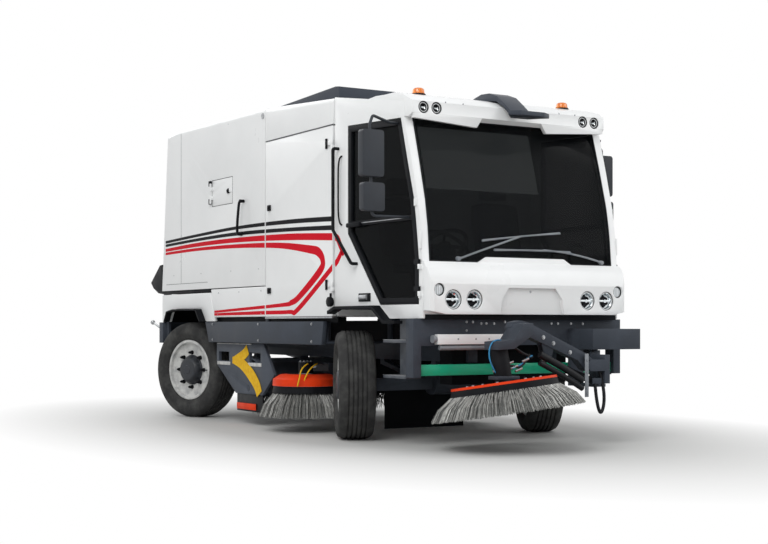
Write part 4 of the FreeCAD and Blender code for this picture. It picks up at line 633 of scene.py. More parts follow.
    def pipe(self, points: Sequence[Point], radius: float, sides: int = 5, order: int = 3) -> None:
        """Add a round pipe along a smooth line.

        Args:
            points: the places that pull the line into shape, from end to end.
            radius: the pipe's radius.
            sides: steps of its half round.
            order: 2 for straight runs, 3 for a smooth line.
        """
        curve = bpy.data.curves.new("pipe_line", "CURVE")
        curve.dimensions = "3D"
        curve.bevel_depth = radius
        curve.bevel_resolution = sides
        curve.use_fill_caps = True
        line = curve.splines.new("NURBS")
        line.points.add(len(points) - 1)
        for knot, point in zip(line.points, points):
            knot.co = (*point, 1.0)
        line.order_u = order
        line.use_endpoint_u = True
        line.resolution_u = 8
        holder = bpy.data.objects.new("pipe_line", curve)
        made = bpy.data.meshes.new_from_object(holder)
        self.mesh.from_mesh(made)
        bpy.data.objects.remove(holder)
        bpy.data.curves.remove(curve)
        bpy.data.meshes.remove(made)

    def bolt(self, place: Point, axis: Point, across: float, height: float) -> None:
        """Add a hexagon bolt head on its washer.

        Args:
            place: the middle of its seat.
            axis: the direction in which it stands up.
            across: the head's width over its corners.
            height: its height with the washer.
        """
        place, axis = Vector(place), Vector(axis).normalized()
        self.rod(place, place + axis * height * 0.25, across * 0.72, sides=16)
        self.rod(place + axis * height * 0.25, place + axis * height, across / 2, sides=6)

    def copy_node(self, node: str) -> None:
        """Take a merged copy of a CAD node's surface with its flat faces joined.

        Args:
            node: the node's name.
        """
        self.mesh.from_mesh(frame["nodes"][node].data)
        bmesh.ops.remove_doubles(self.mesh, verts=self.mesh.verts, dist=WELD)
        bmesh.ops.dissolve_limit(self.mesh, angle_limit=math.radians(0.6), verts=self.mesh.verts,
                                 edges=self.mesh.edges, use_dissolve_boundaries=False)

    def clip(self, place: Point, normal: Point) -> None:
        """Cut away everything that lies beyond a plane.

        Args:
            place: a point of the plane.
            normal: the direction in which everything goes.
        """
        geom = [*self.mesh.verts, *self.mesh.edges, *self.mesh.faces]
        cut = bmesh.ops.bisect_plane(self.mesh, geom=geom, plane_co=Vector(place),
                                     plane_no=Vector(normal), clear_outer=True)
        rim = [item for item in cut["geom_cut"] if isinstance(item, bmesh.types.BMEdge)]
        if rim:
            bmesh.ops.holes_fill(self.mesh, edges=rim, sides=0)

    def copies(self, centre: Point, axis: Point, count: int) -> None:
        """Repeat everything made so far, evenly round an axis.

        Args:
            centre: a point on the axis.
            axis: its direction.
            count: how many there are in the full turn.
        """
        geom = [*self.mesh.verts, *self.mesh.edges, *self.mesh.faces]
        bmesh.ops.spin(self.mesh, geom=geom, cent=Vector(centre), axis=Vector(axis),
                       dvec=(0, 0, 0), angle=math.tau * (count - 1) / count, steps=count - 1,
                       use_duplicate=True)

    def mirror(self) -> None:
        """Add the mirror image of everything across the vehicle's middle."""
        geom = [*self.mesh.verts, *self.mesh.edges, *self.mesh.faces]
        bmesh.ops.mirror(self.mesh, geom=geom, matrix=Matrix.Identity(4), merge_dist=0.0, axis="Y")

    def band(self, stations: Sequence[tuple[Vector, float]], normal: Point,
             thickness: float) -> None:
        """Lay a thin band along a smooth line, as wide at each station as it says.

        Args:
            stations: places on the line with the band's width there.
            normal: the direction that the surface under the band faces.
            thickness: how far the band stands off that surface.
        """
        normal = Vector(normal).normalized()
        line = smooth_line(stations)
        rims = ([], [])
        for step, (place, width) in enumerate(line):
            before, after = line[max(step - 1, 0)][0], line[min(step + 1, len(line) - 1)][0]
            side = (after - before).cross(normal).normalized() * width / 2
            rims[0].append(place + side)
            rims[1].append(place - side)
        self.sheet(rims, normal * thickness)

    def finish(self, name: str, finish: Finish, body: str = "chassis",
               replaces: Sequence[str] = (), smooth: float = 35.0) -> bpy.types.Object:
        """Turn the bmesh into a finished piece that rides on a body.

        Args:
            name: the piece's name.
            finish: its surface.
            body: the CAD body it rides on.
            replaces: CAD nodes that it stands for.
            smooth: edges sharper than this many degrees stay sharp.

        Returns:
            The piece's object.
        """
        bmesh.ops.remove_doubles(self.mesh, verts=self.mesh.verts, dist=WELD)
        bmesh.ops.recalc_face_normals(self.mesh, faces=self.mesh.faces)
        data = bpy.data.meshes.new(name)
        self.mesh.to_mesh(data)
        self.mesh.free()
        data.shade_smooth()
        data.set_sharp_from_angle(angle=math.radians(smooth))
        data.materials.append(finish.material())
        piece = bpy.data.objects.new(name, data)
        bpy.context.scene.collection.objects.link(piece)
        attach(piece, body)
        if replaces:
            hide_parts(*replaces)
        log.info("%s on %s: %d faces", name, body, len(data.polygons))
        return piece


def dress_node(node: str, finish: Finish, bevel: float = 0.003, segments: int = 2) -> None:
    """Show a CAD node through a copy of it with rounded edges.

    Args:
        node: the CAD node.
        finish: its surface.
        bevel: the rounding's width.
        segments: the rounding's steps.
    """
    form = Form()
    form.copy_node(node)
    form.soften(form.mesh.verts, bevel, segments, 28.0)
    form.finish(f"{node}_skin", finish, body_of(node), [node])


# ---- Running gear ----


@dataclass
class Wheel:
    """A steered wheel: ribbed tyre, painted rim, hub cover and its nuts.

    Attributes:
        end: "front" or "rear".
        side: "right" or "left".
        sign: -1 on the right, 1 on the left.
        width: the tyre's overall width.
        tread: half the width of the flat tread.
        grooves: how many grooves run round the tread.
        groove_width: width of each groove.
        groove_depth: its depth.
        bead: where the tyre sits on its rim, half of the rim's inner width.
        bead_radius: radius of that seat.
        hub: radius of the hub cover.
        nut_circle: radius of the circle that the nuts stand on.
        nuts: how many there are.
    """

    end: str
    side: str
    sign: int
    width: float = 0.295
    tread: float = 0.089
    grooves: int = 5
    groove_width: float = 0.012
    groove_depth: float = 0.012
    bead: float = 0.1047
    bead_radius: float = 0.2858
    hub: float = 0.138
    nut_circle: float = 0.172
    nuts: int = 8

    def build(self) -> None:
        """Make the wheel's pieces and dress its knuckle."""
        self.corner = f"{self.end}_{self.side}"
        self.body = f"wheel_{self.corner}"
        roll = joint_named(f"roll_{self.corner}")
        self.centre = Vector(roll["pos_m"])
        self.outward = Vector(roll["axis"]).normalized() * self.sign
        low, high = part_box(f"tyre_{self.corner}")
        self.radius = (high[2] - low[2]) / 2
        self.tyre()
        dress_node(f"rim_{self.corner}", RIM_ENAMEL, 0.003)
        self.hub_cover()
        dress_node(f"knuckle_{self.corner}", ENGINE_PAINT, 0.004)

    def tyre(self) -> None:
        """Turn the tyre's section, with its grooves, shoulders and bulging walls."""
        radius, half = self.radius, self.width / 2
        bulge = (radius + self.bead_radius) / 2
        # the wall from the shoulder in to the bead, then the crown's edge, as (out, radius)
        wall = [(half - 0.016, radius - 0.02), (half - 0.006, radius - 0.036),
                (half - 0.001, radius - 0.062), (half, bulge), (half - 0.004, bulge - 0.025),
                (half - 0.007, bulge - 0.028), (half - 0.016, self.bead_radius + 0.034),
                (self.bead + 0.016, self.bead_radius + 0.022),
                (self.bead, self.bead_radius + 0.016), (self.bead, self.bead_radius)]
        crown = [(self.tread + 0.02, radius - 0.009), (self.tread + 0.008, radius - 0.003)]
        # half a groove from its middle: its rounded lip, its edge and its floor, as (out, drop)
        lip = [(0.5 * self.groove_width + 0.0035, 0.0), (0.5 * self.groove_width, 0.001),
               (0.36 * self.groove_width, self.groove_depth)]
        groove = lip + [(-along, drop) for along, drop in reversed(lip)]
        pitch = 2 * self.tread / self.grooves
        ribs = [(self.tread - pitch * (step + 0.5) + along, radius - drop)
                for step in range(self.grooves) for along, drop in groove]
        edge = wall[::-1] + crown
        section = edge + ribs + [(-along, reach) for along, reach in reversed(edge)]
        form = Form()
        form.lathe(section + section[:1], self.centre, self.outward, 112)
        form.finish(f"ribbed_tyre_{self.corner}", TYRE_RUBBER, self.body,
                    [f"tyre_{self.corner}"], 40.0)

    def hub_cover(self) -> None:
        """Turn the dark hub cover and set the wheel nuts round it."""
        form = Form()
        form.lathe(((0.06, 0.0), (0.06, self.hub + 0.012), (0.074, self.hub + 0.01),
                    (0.08, self.hub), (0.096, self.hub - 0.003), (0.128, self.hub - 0.022),
                    (0.138, self.hub - 0.032), (0.1405, self.hub - 0.045), (0.1405, 0.045),
                    (0.1445, 0.04), (0.1445, 0.0)), self.centre, self.outward, 48)
        form.finish(f"hub_cover_{self.corner}", HUB_PAINT, self.body)
        across = self.outward.cross(Vector((0, 0, 1))).normalized()
        nuts = Form()
        foot = self.centre + self.outward * 0.066 + across * self.nut_circle
        nuts.rod(foot, foot + self.outward * 0.008, 0.021, sides=12)
        nuts.rod(foot + self.outward * 0.008, foot + self.outward * 0.036, 0.0165, sides=6,
                 bevel=0.002)
        nuts.rod(foot + self.outward * 0.036, foot + self.outward * 0.05, 0.01, sides=10)
        nuts.copies(self.centre, self.outward, self.nuts)
        valve = self.centre + self.outward * 0.07 - across * 0.235
        nuts.rod(valve, valve + self.outward * 0.045 - across * 0.004, 0.005, sides=8)
        nuts.finish(f"wheel_nuts_{self.corner}", BLACK_TRIM, self.body)


# ---- Chassis and lower body ----


@dataclass
class LowerBody:
    """Frame, axles, sills, skirts, arch flares and what is screwed to them.

    Attributes:
        half: half the body's width.
        sill_bolts: places ahead of the rear axle of the bolts along the sill.
        sill_rows: heights of the two rows of them.
        skirt_screws: (place ahead of the rear axle, height) of the screws of the skirt.
        beacon: place ahead of the rear axle of the beacons.
        beacon_out: how far each stands from the middle.
    """

    half: float = BODY_HALF
    sill_bolts: tuple[float, ...] = (0.68, 1.69, 2.72)
    sill_rows: tuple[float, ...] = (0.778, 0.925)
    skirt_screws: tuple[tuple[float, float], ...] = (
        (0.82, 1.222), (1.28, 1.222), (1.75, 1.222), (0.8, 1.02), (1.75, 1.02))
    beacon: float = 3.905
    beacon_out: float = 0.695

    def build(self) -> None:
        """Dress the CAD pieces and add the fastenings."""
        for node, width in (("chassis_frame", 0.004), ("axles", 0.005), ("side_hangers", 0.003),
                            ("sill_panels", 0.004), ("front_frame", 0.005)):
            dress_node(node, CHASSIS_PAINT, width)
        dress_node("body_skirts", WHITE_ENAMEL, 0.01, 3)
        dress_node("arch_flares", FLARE_PLASTIC, 0.012, 3)
        dress_node("dust_skirts", HOSE_RUBBER, 0.003)
        self.fastenings()
        self.rear_lamps()
        self.under_lip()
        self.painted_shade_sheets()

    def fastenings(self) -> None:
        """Screw the sills and the skirts on."""
        form = Form()
        for place in self.sill_bolts:
            for height in self.sill_rows:
                form.bolt(at(place, self.half, height), (0, 1, 0), 0.017, 0.007)
        for place, height in self.skirt_screws:
            form.bolt(at(place, self.half, height), (0, 1, 0), 0.009, 0.0035)
        form.mirror()
        form.finish("body_screws", STEEL_PLATE)

    def under_lip(self) -> None:
        """The bright rail under the engine bay's doors."""
        form = Form()
        form.block(at(1.85, self.half - 0.036, 0.972), at(3.09, self.half + 0.01, 0.9865), 0.003)
        form.mirror()
        form.finish("under_rail", STEEL_PLATE)

    def painted_shade_sheets(self) -> None:
        """Painted shade behind the arches and over the sills, and the belly box and the front flap.
        """
        form = Form()
        # painted shade over the sill, and between the frame and the rear and front wheels
        form.block(at(0.5, self.half - 0.06, 0.938), at(3.08, self.half - 0.054, 0.985))
        form.block(at(-0.6, 0.4, 0.64), at(0.8, 0.404, 1.22))
        form.block(at(1.9, 0.4, 0.64), at(4.18, 0.404, 0.955))
        form.mirror()
        # painted shade behind the rear axle; the belly box, the front crossmember and the
        # front-axle flap
        form.block(at(-0.625, -0.985, 0.66), at(-0.615, 0.985, 1.225))
        form.block(at(1.95, -0.15, 0.4), at(2.95, 0.15, 0.64), 0.01)
        form.block(at(3.98, -0.55, 0.46), at(4.15, 0.55, 0.8), 0.01)
        form.block(at(2.895, -0.4, 0.04), at(2.905, 0.4, 0.42), 0.003)
        form.finish("painted_shade_sheets", FLARE_PLASTIC)

    def rear_lamps(self) -> None:
        """Give each rear cluster its three lens fields over an amber body."""
        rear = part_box("amber_lamps")[0][0]
        amber, red, clear = Form(), Form(), Form()
        for sign in (-1, 1):
            for start, end, field in ((0.77, 0.835, amber), (0.838, 0.925, red),
                                      (0.928, 0.96, clear)):
                field.block((rear, start * sign, 0.792), (rear + 0.034, end * sign, 0.888), 0.004)
            amber.block((rear + 0.02, 0.77 * sign, 0.8), (rear + 0.0345, 0.96 * sign, 0.88))
        clear.finish("rear_lens_clear", CLEAR_LENS)
        red.finish("rear_lens_red", RED_LENS)
        amber.finish("rear_lens_amber", AMBER_LENS)
        self.tow_knob()
        self.beacons()

    def tow_knob(self) -> None:
        """A short rod with a knob at the right rear corner of the bumper."""
        form = Form()
        foot, top = at(-0.73, -0.965, 0.88), at(-0.935, -0.98, 0.945)
        form.rod(foot, top, 0.012, 0.01, 14)
        form.ball(top, 0.025, sides=16)
        form.finish("tow_knob", STEEL_PLATE)

    def beacons(self) -> None:
        """Turn the two amber beacons on their dark feet."""
        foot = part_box("amber_lamps")[1][2] - 0.064
        domes, feet = Form(), Form()
        for sign in (-1, 1):
            centre = at(self.beacon, self.beacon_out * sign, foot)
            domes.lathe(((0.016, 0.0), (0.016, 0.05), (0.022, 0.0505), (0.026, 0.048),
                         (0.046, 0.0455), (0.055, 0.04), (0.061, 0.028), (0.0638, 0.0)),
                        centre, (0, 0, 1), 40)
            feet.lathe(((0.0, 0.0), (0.0, 0.058), (0.01, 0.058), (0.016, 0.052), (0.016, 0.0)),
                       centre, (0, 0, 1), 40)
        domes.finish("beacon_domes", BEACON_LENS, "chassis", ["amber_lamps"])
        feet.finish("beacon_feet", BLACK_TRIM)


# ---- Stripes along the sides ----


@dataclass(frozen=True)
class Stripe:
    """One painted stripe.

    Attributes:
        finish: its colour.
        stations: (place ahead of the rear axle, height, width) along its middle line.
    """

    finish: Finish
    stations: tuple[tuple[float, float, float], ...]

    def lay(self, form: Form, sign: int, plane: float) -> None:
        """Lay the stripe on one side of the body.

        Args:
            form: the piece to add it to.
            sign: -1 on the right, 1 on the left.
            plane: how far out that side's surface lies.
        """
        form.band([(at(along, sign * plane, up), width) for along, up, width in self.stations],
                  (0, sign, 0), TAPE)


# From the top: the two black ones, the red one above the loop, the loop, and the one outside it
STRIPES = (
    Stripe(BLACK_VINYL, ((-0.53, 1.771, 0.027), (0.353, 1.798, 0.028), (1.286, 1.816, 0.03),
                         (2.308, 1.804, 0.037), (3.1, 1.777, 0.041))),
    Stripe(BLACK_VINYL, ((-0.53, 1.736, 0.026), (0.353, 1.755, 0.029), (1.286, 1.76, 0.033),
                         (2.308, 1.736, 0.033), (3.1, 1.705, 0.04))),
    Stripe(RED_VINYL, ((-0.53, 1.688, 0.03), (0.353, 1.706, 0.04), (1.286, 1.702, 0.044),
                       (2.308, 1.673, 0.057), (3.1, 1.631, 0.059))),
    Stripe(RED_VINYL, ((-0.53, 1.652, 0.026), (0.353, 1.66, 0.03), (1.286, 1.645, 0.037),
                       (2.115, 1.609, 0.049), (2.677, 1.55, 0.068), (2.842, 1.518, 0.078),
                       (2.917, 1.445, 0.076), (2.869, 1.363, 0.074), (2.509, 1.163, 0.061),
                       (2.345, 1.108, 0.049), (2.115, 1.088, 0.032), (0.717, 1.043, 0.021))),
    Stripe(RED_VINYL, ((0.717, 1.018, 0.024), (1.774, 1.026, 0.033), (2.308, 1.029, 0.034),
                       (2.476, 1.052, 0.049), (3.071, 1.378, 0.05), (3.12, 1.405, 0.05))),
)
# The ends of the upper and the outside red stripes on the cab's rear pillar
CAB_STRIPES = (
    Stripe(RED_VINYL, ((3.105, 1.632, 0.059), (3.15, 1.612, 0.059), (3.19, 1.555, 0.056),
                       (3.245, 1.48, 0.049))),
    Stripe(RED_VINYL, ((3.105, 1.405, 0.05), (3.15, 1.44, 0.05), (3.215, 1.512, 0.044))),
)


def lay_stripes(name: str, body: str, sign: int, plane: float, low: float, high: float,
                below: bool) -> None:
    """Lay the stretch of every stripe that crosses one panel.

    Args:
        name: the piece's name.
        body: the CAD body that the panel belongs to.
        sign: -1 on the right, 1 on the left.
        plane: how far out the panel's surface lies.
        low: the panel's rear edge, ahead of the rear axle.
        high: its front edge.
        below: whether the panel is the one under the hopper.
    """
    for finish, colour in ((BLACK_VINYL, "black"), (RED_VINYL, "red")):
        form = Form()
        for stripe in STRIPES:
            if stripe.finish is finish:
                stripe.lay(form, sign, plane)
        form.clip(at(low, 0, 0), (-1, 0, 0))
        form.clip(at(high, 0, 0), (1, 0, 0))
        if high < 1.84:
            form.clip((0, 0, 1.26), (0, 0, 1 if below else -1))
        if form.mesh.faces:
            form.finish(f"{name}_{colour}", finish, body)
        else:
            form.mesh.free()


# ---- Hopper ----


@dataclass
class Hopper:
    """The white load space with its base, tailgate, hatch, seams and stripes.

    Attributes:
        half: half its width.
        seam: place ahead of the rear axle of the seam between its side panels.
        tail: place ahead of the rear axle of the tailgate's face at the foot.
        foot: height of the foot.
        top: height of the tailgate's top edge.
        lean: how far the face leans forward from foot to top.
    """

    half: float = BODY_HALF
    seam: float = -0.106
    tail: float = -0.62
    foot: float = 1.268
    top: float = 2.89
    lean: float = 0.165

    def build(self) -> None:
        """Dress the shell, base and doors and add the trim."""
        dress_node("hopper_shell", WHITE_ENAMEL, 0.006, 3)
        dress_node("hopper_door", WHITE_ENAMEL, 0.006, 3)
        dress_node("side_hatch", WHITE_ENAMEL, 0.003)
        dress_node("hopper_base", BLACK_TRIM, 0.004)
        for side, sign in SIDES:
            lay_stripes(f"hopper_stripes_{side}", "hopper", sign, self.half, -0.524, 1.826, False)
            lay_stripes(f"skirt_stripes_{side}", "chassis", sign, self.half, 0.72, 1.826, True)
        self.seams()
        self.hatch_trim()
        self.handles()
        self.tailgate_ribs()

    def seams(self) -> None:
        """Draw the upright joint between the side panels and the one along their foot."""
        form = Form()
        inner, outer = self.half - 0.001, self.half + 0.0009
        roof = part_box("hopper_shell")[1][2]
        form.block(at(self.seam - 0.002, inner, 1.331), at(self.seam + 0.002, outer, roof - 0.047))
        form.block(at(-0.5, inner, 1.33), at(0.56, outer, 1.334))
        form.mirror()
        form.finish("hopper_seams", SEAM_SHADE, "hopper")

    def hatch_trim(self) -> None:
        """Black hinge covers, a latch and a lip of rubber round the inspection hatch."""
        form = Form()
        out = -self.half
        for height in (2.274, 2.101):
            form.block(at(0.628, out - 0.023, height - 0.026),
                       at(0.667, out - 0.001, height + 0.026), 0.004)
        form.finish("hatch_hinge_covers", BLACK_TRIM, "hopper")
        lock = Form()
        lock.block(at(1.03, out - 0.013, 2.15), at(1.074, out - 0.0005, 2.196), 0.005)
        lock.rod(at(1.052, out - 0.012, 2.173), at(1.052, out - 0.02, 2.173), 0.012, sides=16,
                 bevel=0.002)
        lock.finish("hatch_lock", BLACK_TRIM, "hatch")
        seal = Form()
        rear, front, low, high, width = 0.669, 1.142, 2.05, 2.304, 0.0045
        for start, end in (((rear, low), (front, low + width)),
                           ((rear, high - width), (front, high)),
                           ((rear, low), (rear + width, high)),
                           ((front - width, low), (front, high))):
            seal.block(at(start[0], out - 0.0008, start[1]), at(end[0], out + 0.018, end[1]))
        seal.finish("hatch_seal", SEAM_SHADE, "hopper")

    def handles(self) -> None:
        """The black grab handle, lifting eye and rivets on each side."""
        form = Form()
        half = self.half
        for place, height in ((1.395, 2.05), (1.352, 1.75)):
            form.rod(at(place, half, height), at(place, half + 0.05, height), 0.015, sides=14,
                     bevel=0.003)
        form.pipe((at(1.395, half + 0.004, 2.05), at(1.396, half + 0.048, 2.06),
                   at(1.39, half + 0.056, 1.985), at(1.36, half + 0.056, 1.815),
                   at(1.351, half + 0.048, 1.74), at(1.352, half + 0.004, 1.75)), 0.0125)
        form.mirror()
        form.finish("hopper_grab_handles", BLACK_TRIM, "hopper")
        eyes = Form()
        eyes.lathe(((0.0, 0.011), (0.0, 0.026), (0.006, 0.026), (0.006, 0.011), (0.0, 0.011)),
                   at(1.79, half, 2.777), (0, 1, 0), 28)
        for place, height in ((1.041, 2.8), (-0.3, 1.42), (0.4, 1.42), (1.1, 1.42),
                              (1.7, 1.42)):
            eyes.ball(at(place, half, height), 0.006, (1, 0.5, 1), 10)
        eyes.mirror()
        eyes.finish("hopper_rivets", STEEL_PLATE, "hopper")

    def tail_face(self, height: float) -> float:
        """Place along X of the tailgate's leaning face at a height."""
        return ahead(self.tail) + (height - self.foot) / (self.top - self.foot) * self.lean

    def tailgate_ribs(self) -> None:
        """Pressed ribs, two latches and two lamps on the tailgate."""
        form = Form()
        for height in (1.78, 2.02, 2.26, 2.5):
            x = self.tail_face(height)
            form.block((x - 0.01, -0.72, height - 0.03), (x + 0.02, 0.72, height + 0.03), 0.008)
        form.finish("tailgate_ribs", WHITE_ENAMEL, "tailgate")
        latch, lamps = Form(), Form()
        for sign in (-1, 1):
            x = self.tail_face(1.62)
            latch.block((x - 0.024, sign * 0.7, 1.58), (x + 0.01, sign * 0.64, 1.68), 0.006)
            latch.pipe([(x - back, sign * 0.67, up) for back, up in
                        ((0.016, 1.66), (0.04, 1.64), (0.04, 1.58), (0.02, 1.555))], 0.006)
            lamps.lathe(((0.0, 0.0), (0.0, 0.05), (0.05, 0.05), (0.08, 0.036), (0.088, 0.0)),
                        (self.tail_face(1.8) + 0.01, sign * 0.82, 1.8), (-1, 0, 0), 32)
        latch.finish("tailgate_latches", STEEL_PLATE, "tailgate")
        lamps.finish("tailgate_lamps", BEACON_LENS, "tailgate")


# ---- Engine bay ----


@dataclass
class EngineBay:
    """The bay between the hopper and the cab, with its doors and roof air box.

    Attributes:
        half: half its width.
    """

    half: float = BODY_HALF

    def build(self) -> None:
        """Dress the housing, doors and engine, and add the trim."""
        dress_node("engine_housing", WHITE_ENAMEL, 0.006, 3)
        dress_node("engine_block", ENGINE_PAINT, 0.01)
        dress_node("roof_trim", FAIRING_PLASTIC, 0.008, 3)
        for side, sign in SIDES:
            dress_node(f"bay_door_{side}", WHITE_ENAMEL, 0.005, 3)
            lay_stripes(f"bay_stripes_{side}", f"bay_door_{side}", sign, self.half, 1.849, 3.081,
                        False)
            self.door_trim(side, sign)
        self.side_fittings()
        self.engine_ribs()

    def door_trim(self, side: str, sign: int) -> None:
        """Black latches with their locks, and hinge straps, on one door.

        Args:
            side: "right" or "left".
            sign: -1 on the right, 1 on the left.
        """
        form = Form()
        out = self.half * sign
        for height in (1.948, 1.218):
            form.block(at(1.9, out, height - 0.026), at(1.955, out + sign * 0.016, height + 0.026),
                       0.006)
            form.rod(at(1.93, out + sign * 0.012, height), at(1.93, out + sign * 0.023, height),
                     0.013, sides=16, bevel=0.002)
        strap = out + sign * 0.012
        for height in (2.395, 1.245):
            form.block(at(2.975, out, height - 0.014), at(3.075, strap, height + 0.014), 0.004)
            form.block(at(2.975, out, height - 0.042), at(3.003, strap, height + 0.042), 0.004)
        form.finish(f"bay_door_fittings_{side}", BLACK_TRIM, f"bay_door_{side}")

    def side_fittings(self) -> None:
        """The black filler cap at each door's lower corner, and the seam over the doors."""
        form = Form()
        skin = self.half - 0.004
        form.lathe(((0.0, 0.0), (0.0, 0.04), (0.03, 0.04), (0.034, 0.034), (0.036, 0.0)),
                   at(3.06, skin, 1.105), (0, 1, 0), 32)
        form.block(at(3.05, skin, 1.135), at(3.072, self.half + 0.012, 1.175), 0.004)
        form.mirror()
        form.finish("filler_caps", BLACK_TRIM)
        seams = Form()
        seams.block(at(1.846, self.half - 0.001, 2.536), at(3.09, self.half + 0.0006, 2.546))
        seams.mirror()
        seams.finish("bay_seams", SEAM_SHADE)

    def engine_ribs(self) -> None:
        """Cast ribs across the engine block's top."""
        low, high = (Vector(corner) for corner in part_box("engine_block"))
        form = Form()
        count = 7
        for step in range(count):
            x = low.x + (high.x - low.x) * (step + 0.5) / count
            form.block((x - 0.012, low.y + 0.03, high.z - 0.002),
                       (x + 0.012, high.y - 0.03, high.z + 0.03), 0.004)
        form.finish("engine_ribs", ENGINE_PAINT)


# ---- Cab ----


@dataclass
class Cab:
    """The driver's cab: shell, glass, fascia, lamps, brow, mirrors, doors and inside.

    Attributes:
        rear: place of the cab's rear wall ahead of the rear axle.
        rear_half: half the cab's width there.
        taper: how far each side turns in towards the front, in degrees.
        sill: height of the fascia's upper edge, under the screen; not used.
        screen: (place ahead of the rear axle, height) up the middle of the screen.
        screen_half: half the screen's width.
        step_top: height between the steps' treads and the grab rails.
    """

    rear: float = 3.108
    rear_half: float = 0.99
    taper: float = 3.13
    sill: float = 1.388
    screen: tuple[tuple[float, float], ...] = (
        (4.325, 1.388), (4.302, 1.64), (4.266, 1.85), (4.184, 2.15), (4.084, 2.486))
    screen_half: float = 0.862
    step_top: float = 1.2

    def build(self) -> None:
        """Dress the CAD pieces and add the fittings outside and inside."""
        for node, finish, width, segments in (
                ("cab_shell", WHITE_ENAMEL, 0.006, 3), ("cab_fascia", WHITE_ENAMEL, 0.014, 4),
                ("roof_visor", WHITE_ENAMEL, 0.007, 3), ("windscreen", SCREEN_GLASS, 0.001, 1),
                ("dashboard", BLACK_TRIM, 0.01, 3)):
            dress_node(node, finish, width, segments)
        self.steps_and_rails()
        self.crest()
        for side, sign in SIDES:
            dress_node(f"door_glass_{side}", SCREEN_GLASS, 0.001, 1)
            dress_node(f"cab_door_{side}", BLACK_TRIM, 0.006, 3)
            dress_node(f"mirrors_{side}", MIRROR_PLASTIC, 0.01, 3)
            self.mirror_glass(side, sign)
            self.door_fittings(side, sign)
            self.cab_stripes(side, sign)
        self.lamps()
        self.screen_rubber()
        self.wipers()
        self.blind()
        self.inner_mirror()
        self.fascia_trim()
        self.brow_trim()
        self.steering_wheel()
        self.dash_detail()

    def steps_and_rails(self) -> None:
        """Split the CAD piece at the height between the treads and the grab rails."""
        for name, finish, way in (("steps", STEP_PAINT, 1), ("grab_rails", BLACK_TRIM, -1)):
            form = Form()
            form.copy_node("steps_and_rails")
            form.clip((0, 0, self.step_top), (0, 0, way))
            form.soften(form.mesh.verts, 0.003, 2, 28.0)
            form.finish(f"{name}_skin", finish, "chassis", ["steps_and_rails"])
        treads = Form()
        for height in (0.537, 0.804):
            treads.block(at(3.85, 0.856, height), at(4.182, 0.982, height + 0.003), 0.001)
        treads.mirror()
        treads.finish("step_treads", STEEL_PLATE)

    def face(self, height: float) -> float:
        """Find the screen's outer face on the middle line.

        Args:
            height: the height.

        Returns:
            Its place along X there.
        """
        rows = self.screen
        for (low_x, low_z), (high_x, high_z) in zip(rows, rows[1:]):
            if height <= high_z or (high_x, high_z) == rows[-1]:
                part = (height - low_z) / (high_z - low_z)
                return ahead(low_x + (high_x - low_x) * part)
        return ahead(rows[-1][0])

    def flank(self, along: float, up: float, out: float, sign: int) -> Vector:
        """A place on the cab's tapered side.

        Args:
            along: distance along the side from the rear wall.
            up: height.
            out: how far it stands off the side.
            sign: -1 on the right, 1 on the left.

        Returns:
            The place.
        """
        turn = math.radians(self.taper)
        return Vector((ahead(self.rear) + along * math.cos(turn) + out * math.sin(turn),
                       sign * (self.rear_half - along * math.sin(turn) + out * math.cos(turn)), up))

    def flank_block(self, form: Form, low: Point, high: Point, sign: int,
                    bevel: float = 0.003) -> None:
        """Add a box whose corners are (along, out, up) on the tapered side.

        Args:
            form: where it is added.
            low: its lowest corner.
            high: its highest corner.
            sign: -1 on the right, 1 on the left.
            bevel: width of the rounding.
        """
        corners = [self.flank(along, up, low[1], sign)
                   for along, up in ((low[0], low[2]), (high[0], low[2]), (high[0], high[2]),
                                     (low[0], high[2]))]
        push = self.flank(0, 0, high[1], sign) - self.flank(0, 0, low[1], sign)
        form.plate(corners, push, bevel)

    def crest(self) -> None:
        """Round screws on top of the brow's crest."""
        form = Form()
        for sign in (-1, 1):
            for along, out in ((4.36, 0.12), (4.3, 0.066)):
                form.ball(at(along, sign * out, 2.5465), 0.008, (1, 1, 0.4), 10)
        form.finish("crest_screws", BLACK_TRIM)

    def mirror_glass(self, side: str, sign: int) -> None:
        """Set a silvered glass in the back of each mirror head.

        Args:
            side: "right" or "left".
            sign: -1 on the right, 1 on the left.
        """
        form = Form()
        # (places ahead of the rear axle of the upper and the lower glass, inner and outer edge)
        upper, lower, near, wide = ((4.07, 4.085, 0.222, 0.386) if sign < 0
                                    else (3.708, 3.723, 0.202, 0.366))
        back = self.flank(-0.0012, 0, 0, sign) - self.flank(0, 0, 0, sign)
        for foot, top, rear in ((2.024, 2.341, upper - self.rear),
                                (1.768, 1.942, lower - self.rear)):
            form.plate([self.flank(rear + 0.0005, up, out, sign) for out, up in
                        ((near, foot), (wide, foot), (wide, top), (near, top))], back)
        form.finish(f"mirror_glass_{side}", MIRROR_SILVER, body_of(f"mirrors_{side}"))

    def door_fittings(self, side: str, sign: int) -> None:
        """Hinges, grip, step cup, handle, inner rail and belt strip of one cab door.

        Args:
            side: "right" or "left".
            sign: -1 on the right, 1 on the left.
        """
        door = f"cab_door_{side}"
        form = Form()
